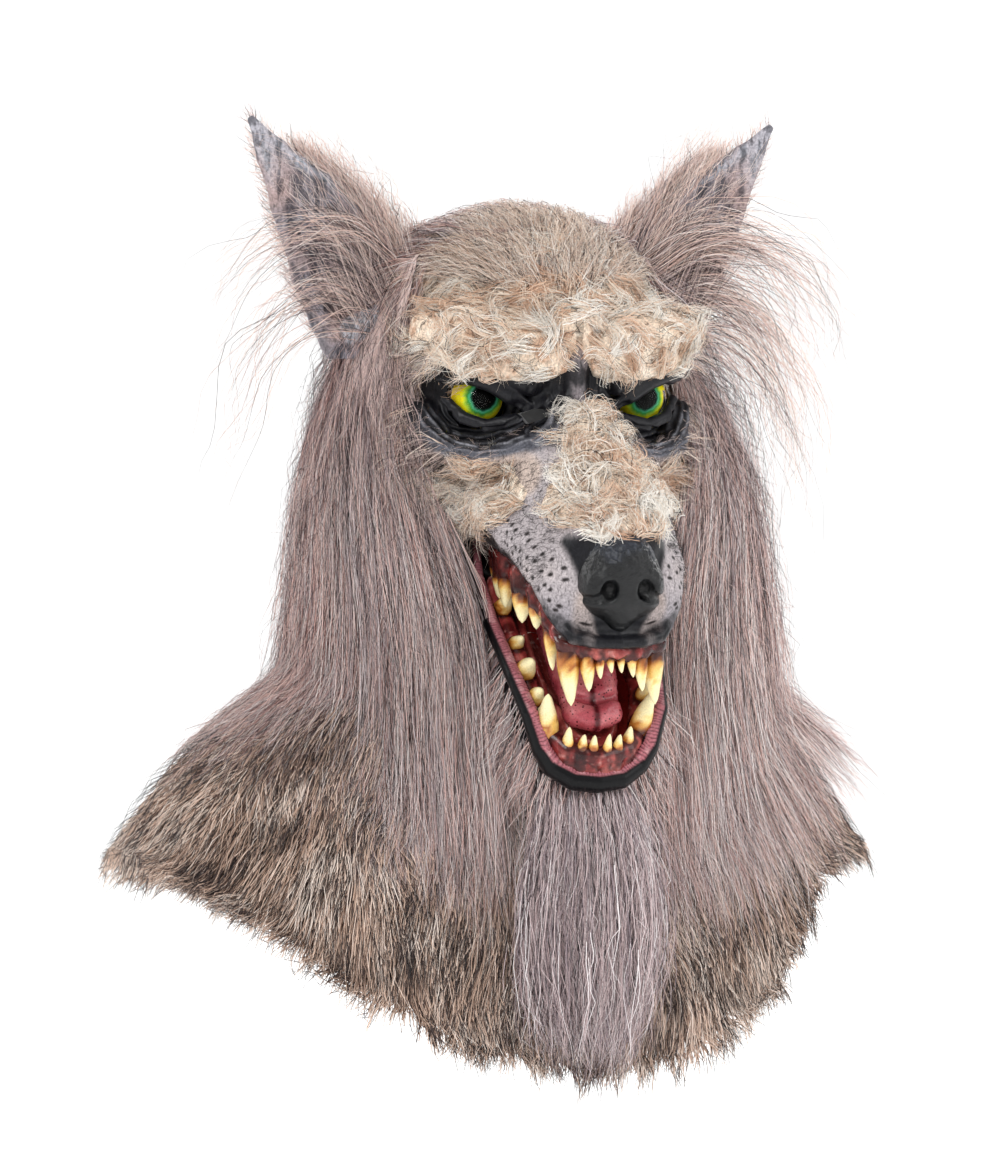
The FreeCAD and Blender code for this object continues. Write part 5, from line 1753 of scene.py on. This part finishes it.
# ---- what is inside -----------------------------------------------------------------
def make_shell():
    """Latex of the sides and back of the head, under the hair, and open at the neck."""
    heights = np.concatenate((np.linspace(114, 101, 16), np.linspace(98, -151, 90)))
    first = np.interp(heights, (92, 106), (-24, -89))
    angles = [np.radians(np.linspace(start, 180 - start, 150)) for start in first]
    skin = painted_material("shell_latex", 0.55, grain=1.5, mottle=0.2)
    outer, inner = (np.stack([around(HEAD_ROWS, HEAD_SQUARE, angle, np.full(150, z),
                                     min(inset, 0.4 + 0.3 * (114 - z)))
                              for angle, z in zip(angles, heights)]) for inset in (0, 3))
    shell = slab("head_shell", outer[:, ::-1], inner[:, ::-1], skin)
    tint = noise(np.concatenate((outer.reshape(-1, 3), inner.reshape(-1, 3))), 18, 201)
    set_paint(shell, layered(srgb(132, 110, 106), (srgb(166, 142, 136), smooth(tint, 0.4, 0.7))))
    finish_piece(shell, HEAD)


def make_foam():
    """Rounded foam pads inside the head, and the core of the muzzle."""
    foam = foam_material()
    for node in ("forehead_pad", "crown_pad"):
        low, high = (np.array(corner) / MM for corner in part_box(node))
        clay = Clay((0, low[1] - 4, low[2] - 4), (high[0] + 4, high[1] + 4, high[2] + 4), 1.0)
        size, middle = (high - low) / 2, (high + low) / 2
        if node == "forehead_pad":
            clay.stroke(((0, low[1] + 12, middle[2] - 3), (high[0] - 9, low[1] + 24, middle[2] - 3)), 4.6,
                        2,
                        scale=(1, 1, 0.34))
        else:
            clay.oval((0, middle[1], low[2] + 9), (size[0], size[1], 7), 2)
        points, quads = clay.surface()
        pad = new_mesh(node + "_foam", points, quads, foam)
        finish_piece(pad, HEAD, (node,))
    clay = Clay((0, -176, -110), (44, -120, 4), 1.2)
    clay.oval((0, -146, -60), (30, 26, 30), 2, (38, 0, 0))
    points, quads = clay.surface()
    core = new_mesh("muzzle_core_foam", points, quads, foam)
    finish_piece(core, HEAD, ("muzzle_foam",))


def foam_material():
    nodes = Nodes("open_foam").set(Roughness=0.95)
    place = nodes.add("ShaderNodeTexCoord")
    cells = nodes.add("ShaderNodeTexVoronoi", Scale=700.0)
    tint = nodes.add("ShaderNodeMix", data_type="RGBA")
    tint.inputs[6].default_value = (*srgb(150, 138, 104), 1)
    tint.inputs[7].default_value = (*srgb(214, 204, 168), 1)
    nodes.link(place.outputs["Object"], cells.inputs["Vector"]).link(cells.outputs["Distance"],
                                                                     tint.inputs[0])
    nodes.link(tint.outputs[2], nodes.shader.inputs["Base Color"])
    add_bump(nodes, cells.outputs["Distance"], 0.6, 0.0006)
    return nodes.material


def make_gauze():
    """Fine open gauze in the see-through slots."""
    gauze = cloth_material("black_gauze", srgb(14, 14, 15), 0.8)
    for side_name, _ in SIDES:
        bpy.data.objects["vision_mesh_" + side_name].data.materials[0] = gauze


# ---- main ---------------------------------------------------------------------------
make_stage()
face_points, face_quads = make_face()
make_nose()
red_gum = painted_material("gum_paint", 0.18, coat=0.5, grain=1.2, mottle=0.25, bump=0.3)
make_upper_mouth(red_gum)
make_lower_mouth(red_gum)
make_jaw_skin()
make_tongue()
make_teeth(UPPER_TEETH, HEAD)
make_teeth(LOWER_TEETH, JAW)
make_eyes()
make_ears()
make_shell()
make_foam()
make_gauze()
make_manes()
make_bib()
make_beard()
make_jaw_hair()
make_wool(face_points, face_quads)
make_crown_hair(face_points, face_quads)
make_back_hair()
make_bristles(face_points, face_quads)
make_ear_hair()
